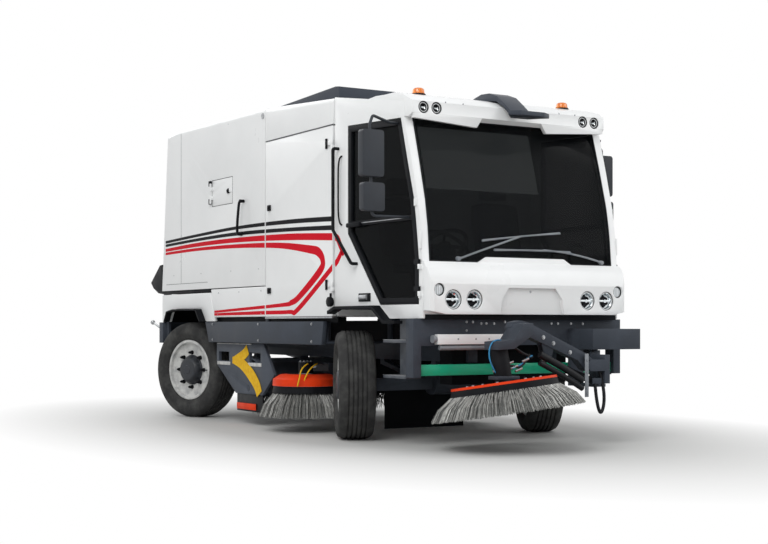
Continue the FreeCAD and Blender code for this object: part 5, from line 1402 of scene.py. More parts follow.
        # (place along the side, height, half its length)
        for along, height, half in ((1.18, 1.142, 0.026), (1.184, 1.546, 0.066),
                                    (1.122, 1.826, 0.026)):
            self.flank_block(form, (along, -0.001, height - half),
                             (along + 0.028, 0.012, height + half), sign, 0.004)
            form.rod(self.flank(along + 0.014, height - half, 0.011, sign),
                     self.flank(along + 0.014, height + half, 0.011, sign), 0.008, sides=12)
        form.finish(f"cab_hinges_{side}", WHITE_ENAMEL)
        grip = Form()
        self.flank_block(grip, (0.204, -0.001, 1.69), (0.396, 0.03, 1.726), sign, 0.01)
        grip.finish(f"cab_door_grip_{side}", BLACK_TRIM, door)
        cup, handle = Form(), Form()
        self.flank_block(cup, (0.356, -0.001, 1.1), (0.526, 0.006, 1.166), sign, 0.004)
        handle.rod(self.flank(0.388, 1.133, 0.012, sign), self.flank(0.494, 1.133, 0.012, sign),
                   0.021, sides=20, bevel=0.006)
        cup.finish(f"cab_step_cup_{side}", BLACK_TRIM)
        handle.finish(f"cab_side_handle_{side}", STEEL_PLATE)
        rail = Form()
        rail.pipe([self.flank(*place, sign) for place in
                   ((0.105, 2.27, -0.002), (0.105, 2.275, 0.034), (0.105, 2.0, 0.036),
                    (0.105, 1.715, 0.034), (0.105, 1.72, -0.002))], 0.007)
        rail.finish(f"inner_rail_{side}", BLACK_TRIM)
        belt = Form()
        self.flank_block(belt, (0.262, 0.0002, 1.7165), (1.04, 0.0032, 1.7225), sign, 0.0)
        belt.finish(f"belt_strip_{side}", STEEL_PLATE, door)

    def cab_stripes(self, side: str, sign: int) -> None:
        """Carry the red stripes round onto the cab's rear pillar.

        Args:
            side: "right" or "left".
            sign: -1 on the right, 1 on the left.
        """
        turn = math.radians(self.taper)
        normal = self.flank(0, 0, 1, sign) - self.flank(0, 0, 0, sign)
        form = Form()
        for stripe in CAB_STRIPES:
            form.band([(self.flank((along - self.rear) / math.cos(turn), up, 0.0, sign), width)
                       for along, up, width in stripe.stations], normal, TAPE)
        form.clip(at(self.rear + 0.001, 0, 0), (-1, 0, 0))
        form.finish(f"cab_stripes_{side}", RED_VINYL)

    def lamps(self) -> None:
        """Headlamps with faceted bowls, bulbs and lens rims, and the turn lamps beside them."""
        rings, bowls, lenses, turns = Form(), Form(), Form(), Form()
        forward, foot, up = (1, 0, 0), 4.375, 1.105
        for sign in (-1, 1):
            for out in (sign * 0.722, sign * 0.534):
                centre = at(foot, out, up)
                rings.lathe(((0.0, 0.0708), (0.0, 0.074), (0.05, 0.074), (0.054, 0.0725),
                             (0.051, 0.0708), (0.0, 0.0708)), centre, forward, 48)
                bowls.lathe(((0.004, 0.0), (0.004, 0.02), (0.01, 0.036), (0.024, 0.056),
                             (0.046, 0.07), (0.042, 0.0704), (0.02, 0.058), (0.0, 0.04),
                             (0.0, 0.0)), centre, forward, 18)
                bowls.block(at(4.385, out - 0.064, 1.099), at(4.418, out + 0.064, 1.113), 0.002)
                bowls.rod(at(4.38, out, up), at(4.421, out, up), 0.016, 0.013, 16)
                # painted reflection: dark bars in the bowl, over and under the bulb, for the dark
                # it mirrors
                for low, high, half in ((1.115, 1.128, 0.04), (1.128, 1.138, 0.018),
                                        (1.083, 1.097, 0.046), (1.064, 1.083, 0.02)):
                    rings.block(at(4.398, out - half, low), at(4.402, out + half, high), 0.001)
                lenses.lathe(((0.047, 0.06), (0.047, 0.0705), (0.0495, 0.0705),
                              (0.0515, 0.06), (0.047, 0.06)), centre, forward, 48)
            centre = at(4.385, sign * 0.842, 1.177)
            rings.lathe(((0.0, 0.043), (0.0, 0.047), (0.03, 0.047), (0.036, 0.045),
                         (0.036, 0.04), (0.0, 0.043)), centre, forward, 36)
            bowls.lathe(((0.002, 0.0), (0.002, 0.036), (0.006, 0.036), (0.006, 0.0)), centre,
                        forward, 24)
            turns.lathe(((0.008, 0.0), (0.008, 0.04), (0.03, 0.0402), (0.0335, 0.03),
                         (0.035, 0.0)), centre, forward, 36)
        rings.finish("headlamp_rings_and_painted_reflections", BLACK_TRIM, "chassis", ["front_lamps"])
        bowls.finish("headlamp_bowls", REFLECTOR, "chassis", smooth=12.0)
        lenses.finish("headlamp_lenses", LAMP_GLASS)
        turns.finish("turn_lenses", CLEAR_LENS)
        self.work_lamps()

    def work_lamps(self) -> None:
        """Round brow lamps: black rings, painted-reflection bars, bright bowls, bulbs and lens
        rims.
        """
        rings, bowls, lenses = Form(), Form(), Form()
        forward, up = (1, 0, 0), 2.551
        for out in (-0.7, -0.816, 0.7, 0.816):
            centre = at(4.134, out, up)
            rings.lathe(((0.0, 0.04), (0.0, 0.0455), (0.032, 0.0455), (0.0375, 0.043),
                         (0.0375, 0.039), (0.028, 0.0375), (0.0, 0.04)), centre, forward, 40)
            bowls.lathe(((0.002, 0.0), (0.002, 0.012), (0.01, 0.026), (0.024, 0.0372),
                         (0.02, 0.038), (0.0, 0.028), (0.0, 0.0)), centre, forward, 32)
            bowls.ball(at(4.148, out, up), 0.008, sides=12)
            rings.lathe(((0.02, 0.024), (0.025, 0.024), (0.025, 0.0375), (0.02, 0.0375),
                         (0.02, 0.024)), centre, forward, 32)
            # painted reflection: dark bars across the bowl, over and under the bulb
            for low, high in ((2.557, 2.571), (2.53, 2.545)):
                rings.block(at(4.146, out - 0.022, low), at(4.149, out + 0.022, high), 0.001)
            lenses.lathe(((0.029, 0.03), (0.029, 0.0368), (0.032, 0.0368), (0.033, 0.03),
                          (0.029, 0.03)), centre, forward, 32)
        rings.finish("work_lamp_rings_and_painted_reflections", BLACK_TRIM)
        bowls.finish("work_lamp_bowls", REFLECTOR)
        lenses.finish("work_lamp_lenses", LAMP_GLASS)

    def on_glass(self, out: float, up: float, gap: float) -> Vector:
        """A place at a gap in front of the screen."""
        return Vector((self.face(up) + gap, out, up))

    def screen_rubber(self) -> None:
        """The black seal round the screen."""
        form = Form()
        half = self.screen_half
        heights = (1.392, 1.52, 1.64, 1.745, 1.85, 2.0, 2.15, 2.32, 2.48)
        for sign in (-1, 1):
            form.pipe([self.on_glass(sign * (half - 0.004), up, 0.001) for up in heights],
                      0.0065, 3)
        for up in (heights[0], heights[-1]):
            form.pipe([self.on_glass(out, up, 0.001) for out in (-half, 0.0, half)], 0.006, 3, 2)
        form.finish("screen_seal", BLACK_TRIM)

    def wipers(self) -> None:
        """Two wipers resting along the foot of the screen."""
        form = Form()
        # (across, height) of the arm's foot, bend and tip, and of the blade's two ends
        arms = (((-0.611, 1.412), (-0.33, 1.506), (-0.025, 1.6), (-0.386, 1.552), (0.358, 1.632)),
                ((0.756, 1.412), (0.468, 1.486), (0.171, 1.496), (-0.282, 1.484), (0.45, 1.484)))
        for foot, bend, tip, start, end in arms:
            form.rod(self.on_glass(*foot, -0.01), self.on_glass(*foot, 0.026), 0.02, 0.016, 20,
                     0.003)
            form.pipe([self.on_glass(*place, gap) for place, gap in
                       ((foot, 0.022), (bend, 0.03), (tip, 0.03))], 0.0075, 3)
            form.pipe([self.on_glass(*place, gap) for place, gap in
                       ((start, 0.012), (start, 0.016), (tip, 0.03), (end, 0.016),
                        (end, 0.012))], 0.0065, 3)
            one, two = self.on_glass(*start, 0.008), self.on_glass(*end, 0.008)
            up = Vector((0, 0, 0.013))
            form.plate((one, two, two + up, one + up), (0.006, 0, 0), 0.002)
        form.finish("wipers", ARM_PAINT)

    def blind(self) -> None:
        """A roller blind behind the top of the screen on the driver's side, glowing with a painted
        backlight.
        """
        low, high, gap, steps = 1.95, 2.42, -0.052, 9
        near, far = -0.8, 0.24
        form = Form()
        heights = [low + (high - low) * step / steps for step in range(steps + 1)]
        form.sheet([[self.on_glass(out, up, gap) for up in heights] for out in (near, far)],
                   Vector((-0.002, 0, 0)))
        form.rod(self.on_glass(near, low, gap), self.on_glass(far, low, gap), 0.009, sides=12)
        form.finish("screen_blind", BLIND_CLOTH_PAINTED_GLOW)

    def inner_mirror(self) -> None:
        """The mirror inside the cab, on its stalk."""
        form = Form()
        form.block(at(4.03, -0.325, 2.205), at(4.052, -0.03, 2.3), 0.01, 3)
        form.pipe((at(4.036, -0.1, 2.29), at(4.02, -0.1, 2.36), at(4.0, -0.1, 2.44)), 0.007)
        form.finish("inner_mirror", BLACK_TRIM)

    def fascia_trim(self) -> None:
        """Bolts round the fascia's recess and the dark joint under it."""
        form = Form()
        for out, up in ((0.335, 1.165), (0.36, 1.055)):
            form.bolt(at(4.4095, out, up), (1, 0, 0), 0.013, 0.006)
        form.mirror()
        form.bolt(at(4.4095, 0.0, 1.17), (1, 0, 0), 0.013, 0.006)
        form.finish("fascia_bolts", STEEL_PLATE)
        gap = Form()
        gap.block(at(4.329, -0.905, 0.957), at(4.335, 0.905, 0.9955))
        gap.finish("fascia_gap", BLACK_TRIM)

    def brow_trim(self) -> None:
        """Small screws in the brow's front edge."""
        form = Form()
        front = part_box("roof_visor")[1][0]
        for out in (0.46, 0.62):
            form.ball((front - 0.0005, out, 2.6), 0.007, (0.4, 1, 1), 10)
        form.mirror()
        form.finish("brow_screws", STEEL_PLATE)

    def steering_wheel(self) -> None:
        """The steering wheel: a grained rim, three spokes and a boss, on its column."""
        centre = at(3.899, -0.46, 1.523)
        tilt = math.radians(40)
        axis = Vector((-math.sin(tilt), 0, math.cos(tilt)))
        across = Vector((0, 1, 0))
        form = Form()
        section = [(0.017 * math.sin(turn), 0.19 + 0.015 * math.cos(turn))
                   for turn in (math.tau * step / 12 for step in range(13))]
        form.lathe(section, centre, axis, 56)
        form.lathe(((-0.03, 0.0), (-0.03, 0.04), (0.01, 0.06), (0.02, 0.05), (0.024, 0.0)),
                   centre, axis, 28)
        for direction in (across, -across, axis.cross(across)):
            side = axis.cross(direction).normalized()
            start, end = centre + direction * 0.04, centre + direction * 0.192
            form.plate((start - side * 0.02, end - side * 0.014, end + side * 0.014,
                        start + side * 0.02), axis * 0.01, 0.003)
        form.finish("steering_wheel", BLACK_TRIM, body_of("dashboard"))

    def dash_detail(self) -> None:
        """The gauges with their hood, and a grab bar at the passenger's side."""
        form = Form()
        form.plate([at(along, -0.66, up) for along, up in
                    ((4.02, 1.402), (4.14, 1.402), (4.14, 1.452), (4.06, 1.47))],
                   (0, 0.4, 0), 0.01, 3)
        form.pipe((at(4.1, 0.62, 1.4), at(4.09, 0.62, 1.48),
                   at(4.07, 0.66, 1.56), at(4.05, 0.74, 1.58),
                   at(4.05, 0.8, 1.56)), 0.012)
        form.finish("gauge_hood", BLACK_TRIM)
        dials = Form()
        for out in (-0.56, -0.46, -0.36):
            dials.rod(at(4.052, out, 1.436), at(4.046, out, 1.44), 0.03, sides=24, bevel=0.002)
        dials.finish("gauges", MIRROR_SILVER)


@dataclass
class Seat:
    """One padded cab seat: a cushion, a back and a head rest on a plain base.

    Attributes:
        side: "right" or "left".
        sign: -1 or 1.
        inner: the edge nearer the middle.
        outer: the other edge.
    """

    side: str
    sign: int
    inner: float = 0.232
    outer: float = 0.688

    def build(self) -> None:
        """Make the pads and the base."""
        base = Form()
        low, high = sorted((self.sign * self.inner, self.sign * self.outer))
        base.block(at(3.42, low + 0.06, 1.335), at(3.74, high - 0.06, 1.405), 0.01)
        base.finish(f"seat_base_{self.side}", BLACK_TRIM, body_of("seats"), ["seats"])
        self.pad("seat_cushion", ((3.4, 1.4), (3.79, 1.425), (3.8, 1.535), (3.4, 1.515)))
        self.pad("seat_back", ((3.3, 1.46), (3.4, 1.5), (3.325, 1.95), (3.2, 1.95)))
        self.pad("head_rest", ((3.215, 1.975), (3.305, 1.975), (3.29, 2.115), (3.205, 2.115)),
                 0.1)

    def pad(self, name: str, corners: Sequence[tuple[float, float]],
            inset: float = 0.0) -> None:
        """Make one crowned pad from its side outline.

        Args:
            name: the pad's name.
            corners: its side outline as (ahead, up).
            inset: how much narrower than the seat it is on each side.
        """
        low, high = self.inner + inset, self.outer - inset
        form = Form()
        form.plate([at(along, self.sign * low, up) for along, up in corners],
                   (0, self.sign * (high - low), 0))
        bmesh.ops.subdivide_edges(form.mesh, edges=form.mesh.edges, cuts=5, use_grid_fill=True)
        middle = sum((vert.co for vert in form.mesh.verts), Vector()) / len(form.mesh.verts)
        for vert in form.mesh.verts:
            side = abs(vert.co.y - middle.y) / ((high - low) / 2)
            vert.co = middle + (vert.co - middle) * (1.0 - 0.05 * side * side)
        bmesh.ops.smooth_vert(form.mesh, verts=form.mesh.verts, factor=0.5, use_axis_x=True,
                              use_axis_y=True, use_axis_z=True)
        piece = form.finish(f"{name}_{self.side}", SEAT_CLOTH, body_of("seats"), ["seats"], 60.0)
        fullness = piece.modifiers.new("fullness", "SUBSURF")
        fullness.levels = fullness.render_levels = 2


# ---- Front gear ----


@dataclass
class FrontGear:
    """The front beam, swing bracket, boom, lift cylinder and their pipework.

    Attributes:
        face: place ahead of the rear axle of the boom's front face.
    """

    face: float = 4.69

    def build(self) -> None:
        """Dress the arms and add hoses, bolts and marks."""
        for node, finish, width in (("front_swing", CHASSIS_PAINT, 0.006),
                                    ("front_boom", CHASSIS_PAINT, 0.006),
                                    ("lift_barrel", BLACK_TRIM, 0.003),
                                    ("lift_rod", STEEL_PLATE, 0.001)):
            dress_node(node, finish, width)
        self.beam()
        self.boom()
        self.boom_marks()
        self.hoses()
        self.foot()

    def beam(self) -> None:
        """The pale box and the tube under the beam, the green bar's skin, and the bolts."""
        pale = Form()
        pale.block(at(4.2955, -0.8, 0.772), at(4.345, -0.2, 0.848), 0.004)
        pale.finish("beam_box", WHITE_ENAMEL)
        tube = Form()
        tube.rod(at(4.318, -0.772, 0.748), at(4.318, -0.255, 0.748), 0.019, sides=20, bevel=0.003)
        for out, radius in ((-0.835, 0.03), (-0.812, 0.022)):
            tube.rod(at(4.32, out, 0.812), at(4.32, out + 0.018, 0.812), radius, sides=20)
        tube.finish("beam_tube", ARM_PAINT)
        bar = Form()
        bar.block(at(4.2185, -0.914, 0.5385), at(4.2615, 0.914, 0.6215), 0.005)
        bar.finish("cross_bar_skin", GREEN_ENAMEL)
        form = Form()
        for out, up in ((-0.512, 0.94), (-0.455, 0.94), (-0.378, 0.928), (-0.331, 0.928),
                        (-0.26, 0.928), (-0.158, 0.94), (0.288, 0.928), (0.352, 0.928),
                        (0.481, 0.928), (0.599, 0.926), (-0.512, 0.875)):
            form.bolt(at(4.294, out, up), (1, 0, 0), 0.014, 0.008)
        for out in (-0.62, -0.46, -0.34):
            form.bolt(at(4.345, out, 0.812), (1, 0, 0), 0.01, 0.004)
        form.finish("beam_bolts", STEEL_PLATE)

    def boom(self) -> None:
        """Bolts along the boom's front face, and the brush motor with its clamp."""
        form = Form()
        for out, up in ((0.345, 0.625), (0.16, 0.712), (0.002, 0.781), (-0.091, 0.825),
                        (-0.262, 0.905)):
            form.bolt(at(self.face, out, up), (1, 0, 0), 0.022, 0.01)
        form.finish("boom_bolts", STEEL_PLATE, "boom")
        motor = Form()
        joint = joint_named("front_brush_spin")
        axis = Vector(joint["axis"]).normalized()
        axis = axis if axis.z > 0 else -axis
        motor.lathe(((0.03, 0.0), (0.03, 0.0655), (0.18, 0.0655), (0.188, 0.0635),
                     (0.262, 0.0635), (0.2725, 0.055), (0.2725, 0.0)), joint["pos_m"], axis, 36)
        motor.finish("front_motor_skin", BLACK_TRIM, "boom")
        clamp = Form()
        clamp.block(at(4.7, -0.6, 0.52), at(4.82, -0.4, 0.548), 0.006)
        clamp.finish("front_motor_clamp", CHASSIS_PAINT, "boom")

    def boom_marks(self) -> None:
        """Three patches at the boom's end, red, white and red."""
        red, white = Form(), Form()
        start, end = at(self.face, -0.292, 0.926), at(self.face, -0.378, 0.91)
        run = (end - start) / 3
        drop = Vector((0, 0.01, -0.05))
        for step, target in enumerate((red, white, red)):
            corner = start + run * step
            target.plate((corner, corner + run, corner + run + drop, corner + drop),
                         (0.0009, 0, 0))
        red.finish("boom_marks_red", RED_VINYL, "boom")
        white.finish("boom_marks_white", WHITE_ENAMEL, "boom")

    def hoses(self) -> None:
        """Pipes and hoses along the boom, round the brush motor and down under its foot."""
        swing = body_of("front_swing")
        # name, body, finish, and each run's radius, steps and points (forward, across, height)
        runs = [
            ("boom_pipes", "boom", HOSE_RUBBER, [
                (0.008, 4, ((4.6, 0.33, 0.69 + gap), (4.6, 0.2, 0.745 + gap),
                            (4.6, -0.2, 0.918 + gap), (4.64, -0.33, 0.925)))
                for gap in (0.0, 0.02)] + [
                (radius, 5, ((4.722, -0.15, 0.7 - drop), (4.73, -0.02, 0.64 - drop),
                             (4.73, 0.14, 0.56 - drop), (4.724, 0.25, 0.5 - drop)))
                for radius, drop in ((0.026, 0.0), (0.021, 0.062))] + [
                (0.009, 4, ((4.7, -0.2, 0.679), (4.74, -0.3, 0.7),
                            (4.76, -0.42, 0.76), (4.735, -0.5, 0.8))),
                (0.008, 4, ((4.75, -0.58, 0.585), (4.75, -0.44, 0.636),
                            (4.75, -0.36, 0.596), (4.75, -0.29, 0.655),
                            (4.72, -0.24, 0.7)))]),
            ("foot_hoses", swing, HOSE_RUBBER, [
                (0.013, 5, ((4.69, 0.4, 0.47), (4.7, 0.405, 0.34), (4.7, 0.446, 0.225),
                            (4.7, 0.486, 0.32), (4.69, 0.48, 0.47), (4.66, 0.455, 0.6))),
                (0.008, 4, ((4.56, 0.48, 0.72), (4.575, 0.6, 0.64), (4.52, 0.56, 0.6),
                            (4.5, 0.5, 0.56)))]),
            ("blue_hoses", "boom", BLUE_HOSE, [
                (0.0055, 4, ((4.7, -0.47, 0.8), (4.735, -0.54, 0.818),
                             (4.745, -0.612, 0.78), (4.745, -0.626, 0.69),
                             (4.75, -0.59, 0.6), (4.755, -0.56, 0.56))),
                (0.0055, 4, ((4.755, -0.42, 0.6), (4.745, -0.32, 0.63),
                             (4.74, -0.28, 0.68), (4.715, -0.215, 0.69)))]),
        ]
        for name, body, finish, pipes in runs:
            form = Form()
            for radius, steps, points in pipes:
                form.pipe([at(*point) for point in points], radius, steps)
            form.finish(name, finish, body)
        ends = Form()
        for out, up in ((-0.44, 0.64), (-0.4, 0.61), (-0.36, 0.59), (-0.56, 0.59),
                        (-0.3, 0.66)):
            ends.rod(at(4.745, out - 0.026, up - 0.01), at(4.755, out + 0.026, up + 0.012),
                     0.01, 0.008, 8)
        ends.finish("hose_ends", STEEL_PLATE, "boom")

    def foot(self) -> None:
        """The upright plate of the swing bracket, with its bolts."""
        plate = Form()
        plate.block(at(4.711, 0.283, 0.372), at(4.717, 0.318, 0.7), 0.002)
        for up in (0.4, 0.44, 0.56, 0.65):
            plate.bolt(at(4.717, 0.3, up), (1, 0, 0), 0.014, 0.006)
        plate.finish("foot_plate", ARM_PAINT, body_of("front_swing"))


# ---- Sweeping gear ----


@dataclass
class ConeBrush:
    """A spinning brush: a ring that carries tufts of bristle, fanning out downwards.

    Attributes:
        node: its CAD node.
        joint: the joint that spins it.
        tip_radius: radius at the bristles' tips.
        tip_drop: how far below the joint's place the tips reach, along the axis.
        root_radius: radius where the bristles leave the ring.
        root_drop: how far below the joint's place that is.
        rows: circles of tufts.
        tufts: tufts in each circle of one sector.
        sectors: how many equal sectors make the full ring.
        strands: bristles in a tuft.
        spread: how far a bristle's tip may stray.
        thick: a bristle's radius.
        seed: starting number for the strays.
    """

    node: str
    joint: str
    tip_radius: float
    tip_drop: float
    root_radius: float
    root_drop: float
    rows: int = 4
    tufts: int = 5
    sectors: int = 12
    strands: int = 9
    spread: float = 0.022
    thick: float = 0.0021
    seed: int = 7

    def build(self, ring_finish: Finish, ring: Sequence[tuple[float, float]]) -> None:
        """Make the bristles and the ring.

        Args:
            ring_finish: the ring's surface.
            ring: the ring's closed section as (down the axis, radius).
        """
        joint = joint_named(self.joint)
        self.place = Vector(joint["pos_m"])
        self.axis = Vector(joint["axis"]).normalized()
        if self.axis.z < 0:
            self.axis.negate()
        self.across = self.axis.orthogonal().normalized()
        body = body_of(self.node)
        dark, pale = Form(), Form()
        rng = random.Random(self.seed)
        for row in range(self.rows):
            for tuft in range(self.tufts):
                self.tuft(pale, dark, rng, row,
                          (tuft + 0.5 + 0.5 * (row % 2)) / self.tufts / self.sectors)
        for form, name, finish in ((pale, "bristles_pale", BRISTLE),
                                   (dark, "bristles_dark", BRISTLE_STEEL)):
            form.copies(self.place, self.axis, self.sectors)
            form.finish(f"{self.node}_{name}", finish, body, [self.node], 60.0)
        form = Form()
        form.lathe([(-drop, radius) for drop, radius in ring], self.place, self.axis, 72)
        form.finish(f"{self.node}_ring", ring_finish, body)

    def tuft(self, pale: Form, dark: Form, rng: random.Random, row: int, turn: float) -> None:
        """Add one tuft of bristles.

        Args:
            pale: the piece that takes the pale bristles.
            dark: the piece that takes the dark ones.
            rng: source of the strays.
            row: which circle it stands in.
            turn: its place round the ring, as a share of the full turn.
        """
        angle = math.tau * turn
        out = (self.across * math.cos(angle)
               + self.axis.cross(self.across) * math.sin(angle))
        round_ = self.axis.cross(out)
        inward = 0.024 * row
        root = self.place + out * (self.root_radius - inward) - self.axis * self.root_drop
        reach = self.tip_radius - 0.03 - inward * 1.2
        tip = self.place + out * reach - self.axis * self.tip_drop
        for _ in range(self.strands):
            stray = (out * rng.uniform(-1.0, 1.0) + round_ * rng.uniform(-1.2, 1.2)) * self.spread
            start = root + stray * 0.25
            end = tip + stray + self.axis * rng.uniform(0.0, 0.016)
            bend = (start + end) / 2 + out * 0.02 + stray * 0.3
            form = pale if rng.random() < 0.6 else dark
            form.rod(start, bend, self.thick, self.thick, 4)
            form.rod(bend, end, self.thick, self.thick * 0.6, 4)


@dataclass
class SideGear:
    """The arms, hoods, motors, cables and brushes under the truck.

    Attributes:
        strap_rear: (forward, out, height, width) along the strap from its upper end.
        strap_front: the same for its hanging stretch.
    """

    strap_rear: tuple[tuple[float, ...], ...] = (
        (1.33, 0.9325, 0.69, 0.1), (1.235, 0.933, 0.64, 0.095),
        (1.0, 0.9335, 0.58, 0.06))
    strap_front: tuple[tuple[float, ...], ...] = (
        (1.0, 0.9345, 0.59, 0.06), (1.205, 0.9345, 0.555, 0.105),
        (1.4, 0.9345, 0.462, 0.125), (1.524, 0.9345, 0.372, 0.12),
        (1.58, 0.9345, 0.29, 0.112))

    def build(self) -> None:
        """Dress each side and make the three cone brushes and the roller."""
        dress_node("brush_housing", CHASSIS_PALE_PAINT, 0.004)
        self.housing_detail()
        for side, sign in SIDES:
            dress_node(f"side_sleeve_{side}", CHASSIS_PAINT, 0.004)
            dress_node(f"side_arm_{side}", ARM_PAINT, 0.005)
            self.hood_detail(side, sign)
            brush = ConeBrush(f"side_brush_{side}", f"side_spin_{side}", 0.42, 0.0, 0.268, 0.0,
                              rows=4, tufts=4, sectors=14, strands=8, spread=0.02, seed=11 + sign)
            height = joint_named(brush.joint)["pos_m"][2]
            brush.tip_drop = height - 0.121
            brush.root_drop = height - 0.338
            brush.build(BLACK_TRIM, [(height - up, radius) for up, radius in
                                     ((0.44, 0.036), (0.44, 0.262), (0.436, 0.27),
                                      (0.345, 0.29), (0.332, 0.29), (0.33, 0.2),
                                      (0.352, 0.19), (0.4, 0.06), (0.4, 0.036),
                                      (0.44, 0.036))])
        front = ConeBrush("front_brush", "front_brush_spin", 0.57, 0.217, 0.392, 0.05, rows=5,
                          tufts=6, sectors=18, strands=7, spread=0.026, thick=0.0023, seed=3)
        front.build(BLACK_TRIM, ((-0.013, 0.06), (-0.013, 0.378), (-0.008, 0.385),
                                 (0.05, 0.397), (0.059, 0.397), (0.06, 0.31), (0.02, 0.28),
                                 (0.004, 0.07), (0.004, 0.06), (-0.013, 0.06)))
        self.front_brush_fittings(front)
        self.roller()

    def housing_detail(self) -> None:
        """Bars under the two fork openings, the yellow strap and the orange strip."""
        bars = Form()
        for start, end in ((0.645, 0.935), (1.335, 1.615)):
            bars.block(at(start, 0.926, 0.538), at(end, 0.937, 0.57), 0.003)
        bars.block(at(0.64, 0.929, 0.7375), at(1.4, 0.936, 0.7445), 0.001)
        bars.mirror()
        bars.finish("fork_bars", RIM_ENAMEL)
        strap = Form()
        for run in (self.strap_rear, self.strap_front):
            strap.band([(at(*place), width) for *place, width in run], (0, 1, 0), 0.003)
        strap.mirror()
        strap.finish("yellow_straps", YELLOW_WEB)
        flap = Form()
        flap.block(at(1.09, 0.93, 0.137), at(1.5, 0.9345, 0.195), 0.002)
        flap.mirror()
        flap.finish("orange_flaps", ORANGE_ENAMEL)

    def hood_detail(self, side: str, sign: int) -> None:
        """The orange band on the hood, the motor's bolts, fittings and the hanging cables.

        Args:
            side: "right" or "left".
            sign: -1 on the right, 1 on the left.
        """
        body = body_of(f"side_arm_{side}")
        spin = Vector(joint_named(f"side_spin_{side}")["pos_m"])
        centre = Vector((spin.x, spin.y, 0.0))
        band = Form()
        band.lathe(((0.394, 0.287), (0.394, 0.2885), (0.4525, 0.2845), (0.4895, 0.2225),
                    (0.4945, 0.165), (0.493, 0.165), (0.4885, 0.2205), (0.452, 0.283),
                    (0.394, 0.287)), centre, (0, 0, 1), 72)
        band.finish(f"hood_band_{side}", ORANGE_ENAMEL, body)
        well = Form()
        well.lathe(((0.4925, 0.064), (0.4945, 0.064), (0.4965, 0.164), (0.4925, 0.164),
                    (0.4925, 0.064)), centre, (0, 0, 1), 48)
        well.lathe(((0.5, 0.0), (0.5, 0.0635), (0.596, 0.0635), (0.6008, 0.058), (0.6008, 0.0)),
                   centre, (0, 0, 1), 36)
        well.finish(f"hood_well_{side}", BLACK_TRIM, body)
        cable = Form()
        for shift in (0.0, 0.1):
            cable.pipe([at(along + shift * 0.2, sign * (out + shift * share), up)
                        for along, out, share, up in
                        ((2.44, 0.8, 1.0, 0.585), (2.52, 0.9, 1.0, 0.56),
                         (2.52, 0.96, 0.6, 0.47), (2.5, 0.97, 0.6, 0.4))], 0.006)
        cable.finish(f"hood_cables_{side}", YELLOW_WEB, body)
        motor = Form()
        for step in range(4):
            turn = math.tau * (step + 0.5) / 4
            place = centre + Vector((0.047 * math.cos(turn), 0.047 * math.sin(turn), 0.6))
            motor.bolt(place, (0, 0, 1), 0.015, 0.01)
        for turn in (1.07, 2.07):
            away = Vector((math.cos(turn), math.sin(turn), 0))
            foot = centre + away * 0.06 + Vector((0, 0, 0.555))
            motor.rod(foot, foot + away * 0.03, 0.014, 0.012, 6)
        motor.finish(f"brush_motor_fittings_{side}", STEEL_PLATE, body)

    def front_brush_fittings(self, brush: ConeBrush) -> None:
        """The orange edge of the disc and the fittings on the motor above it.

        Args:
            brush: the front brush.
        """
        form = Form()
        form.lathe([(-drop, radius) for drop, radius in
                    ((-0.0145, 0.2), (-0.0145, 0.3855), (0.003, 0.3885), (0.003, 0.384),
                     (-0.0135, 0.378), (-0.0135, 0.2), (-0.0145, 0.2))],
                   brush.place, brush.axis, 72)
        form.finish("front_disc_edge", ORANGE_ENAMEL, body_of("front_brush"))
        bolts = Form()
        foot = brush.place + brush.axis * 0.012 + brush.across * 0.27
        bolts.bolt(foot, brush.axis, 0.02, 0.01)
        bolts.copies(brush.place, brush.axis, 8)
        bolts.finish("front_disc_bolts", STEEL_PLATE, body_of("front_brush"))

    def roller(self) -> None:
        """The wide roller under the truck: rows of tufts round a tube."""
        joint = joint_named("roller_spin")
        place, axis = Vector(joint["pos_m"]), Vector(joint["axis"]).normalized()
        low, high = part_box("main_brush")
        half, radius = (high[1] - low[1]) / 2, (high[2] - low[2]) / 2
        body = body_of("main_brush")
        tube = Form()
        tube.lathe(((-half, 0.0), (-half, 0.04), (-half + 0.03, 0.085), (half - 0.03, 0.085),
                    (half, 0.04), (half, 0.0)), place, axis, 40)
        tube.finish("roller_tube", CHASSIS_PAINT, body)
        rng = random.Random(5)
        form = Form()
        rows, sectors, tufts, strands = 44, 8, 3, 3
        for row in range(rows):
            along = -half + 0.035 + (2 * half - 0.07) * row / (rows - 1)
            for tuft in range(tufts):
                turn = math.tau * (tuft + 0.5 * (row % 2) + 0.2 * rng.random()) / tufts / sectors
                out = Vector((math.cos(turn), 0, math.sin(turn)))
                middle = place + axis * along
                for _ in range(strands):
                    stray = Vector((rng.uniform(-1, 1) * 0.02, rng.uniform(-1, 1) * 0.014,
                                    rng.uniform(-1, 1) * 0.02))
                    form.rod(middle + out * 0.08, middle + out * (radius - 0.006) + stray * 0.8,
                             0.003, 0.0016, 4)
        form.copies(place, axis, sectors)
        form.finish("roller_bristles", BRISTLE_STEEL, body, ["main_brush"], 60.0)


# ---- Scene ----


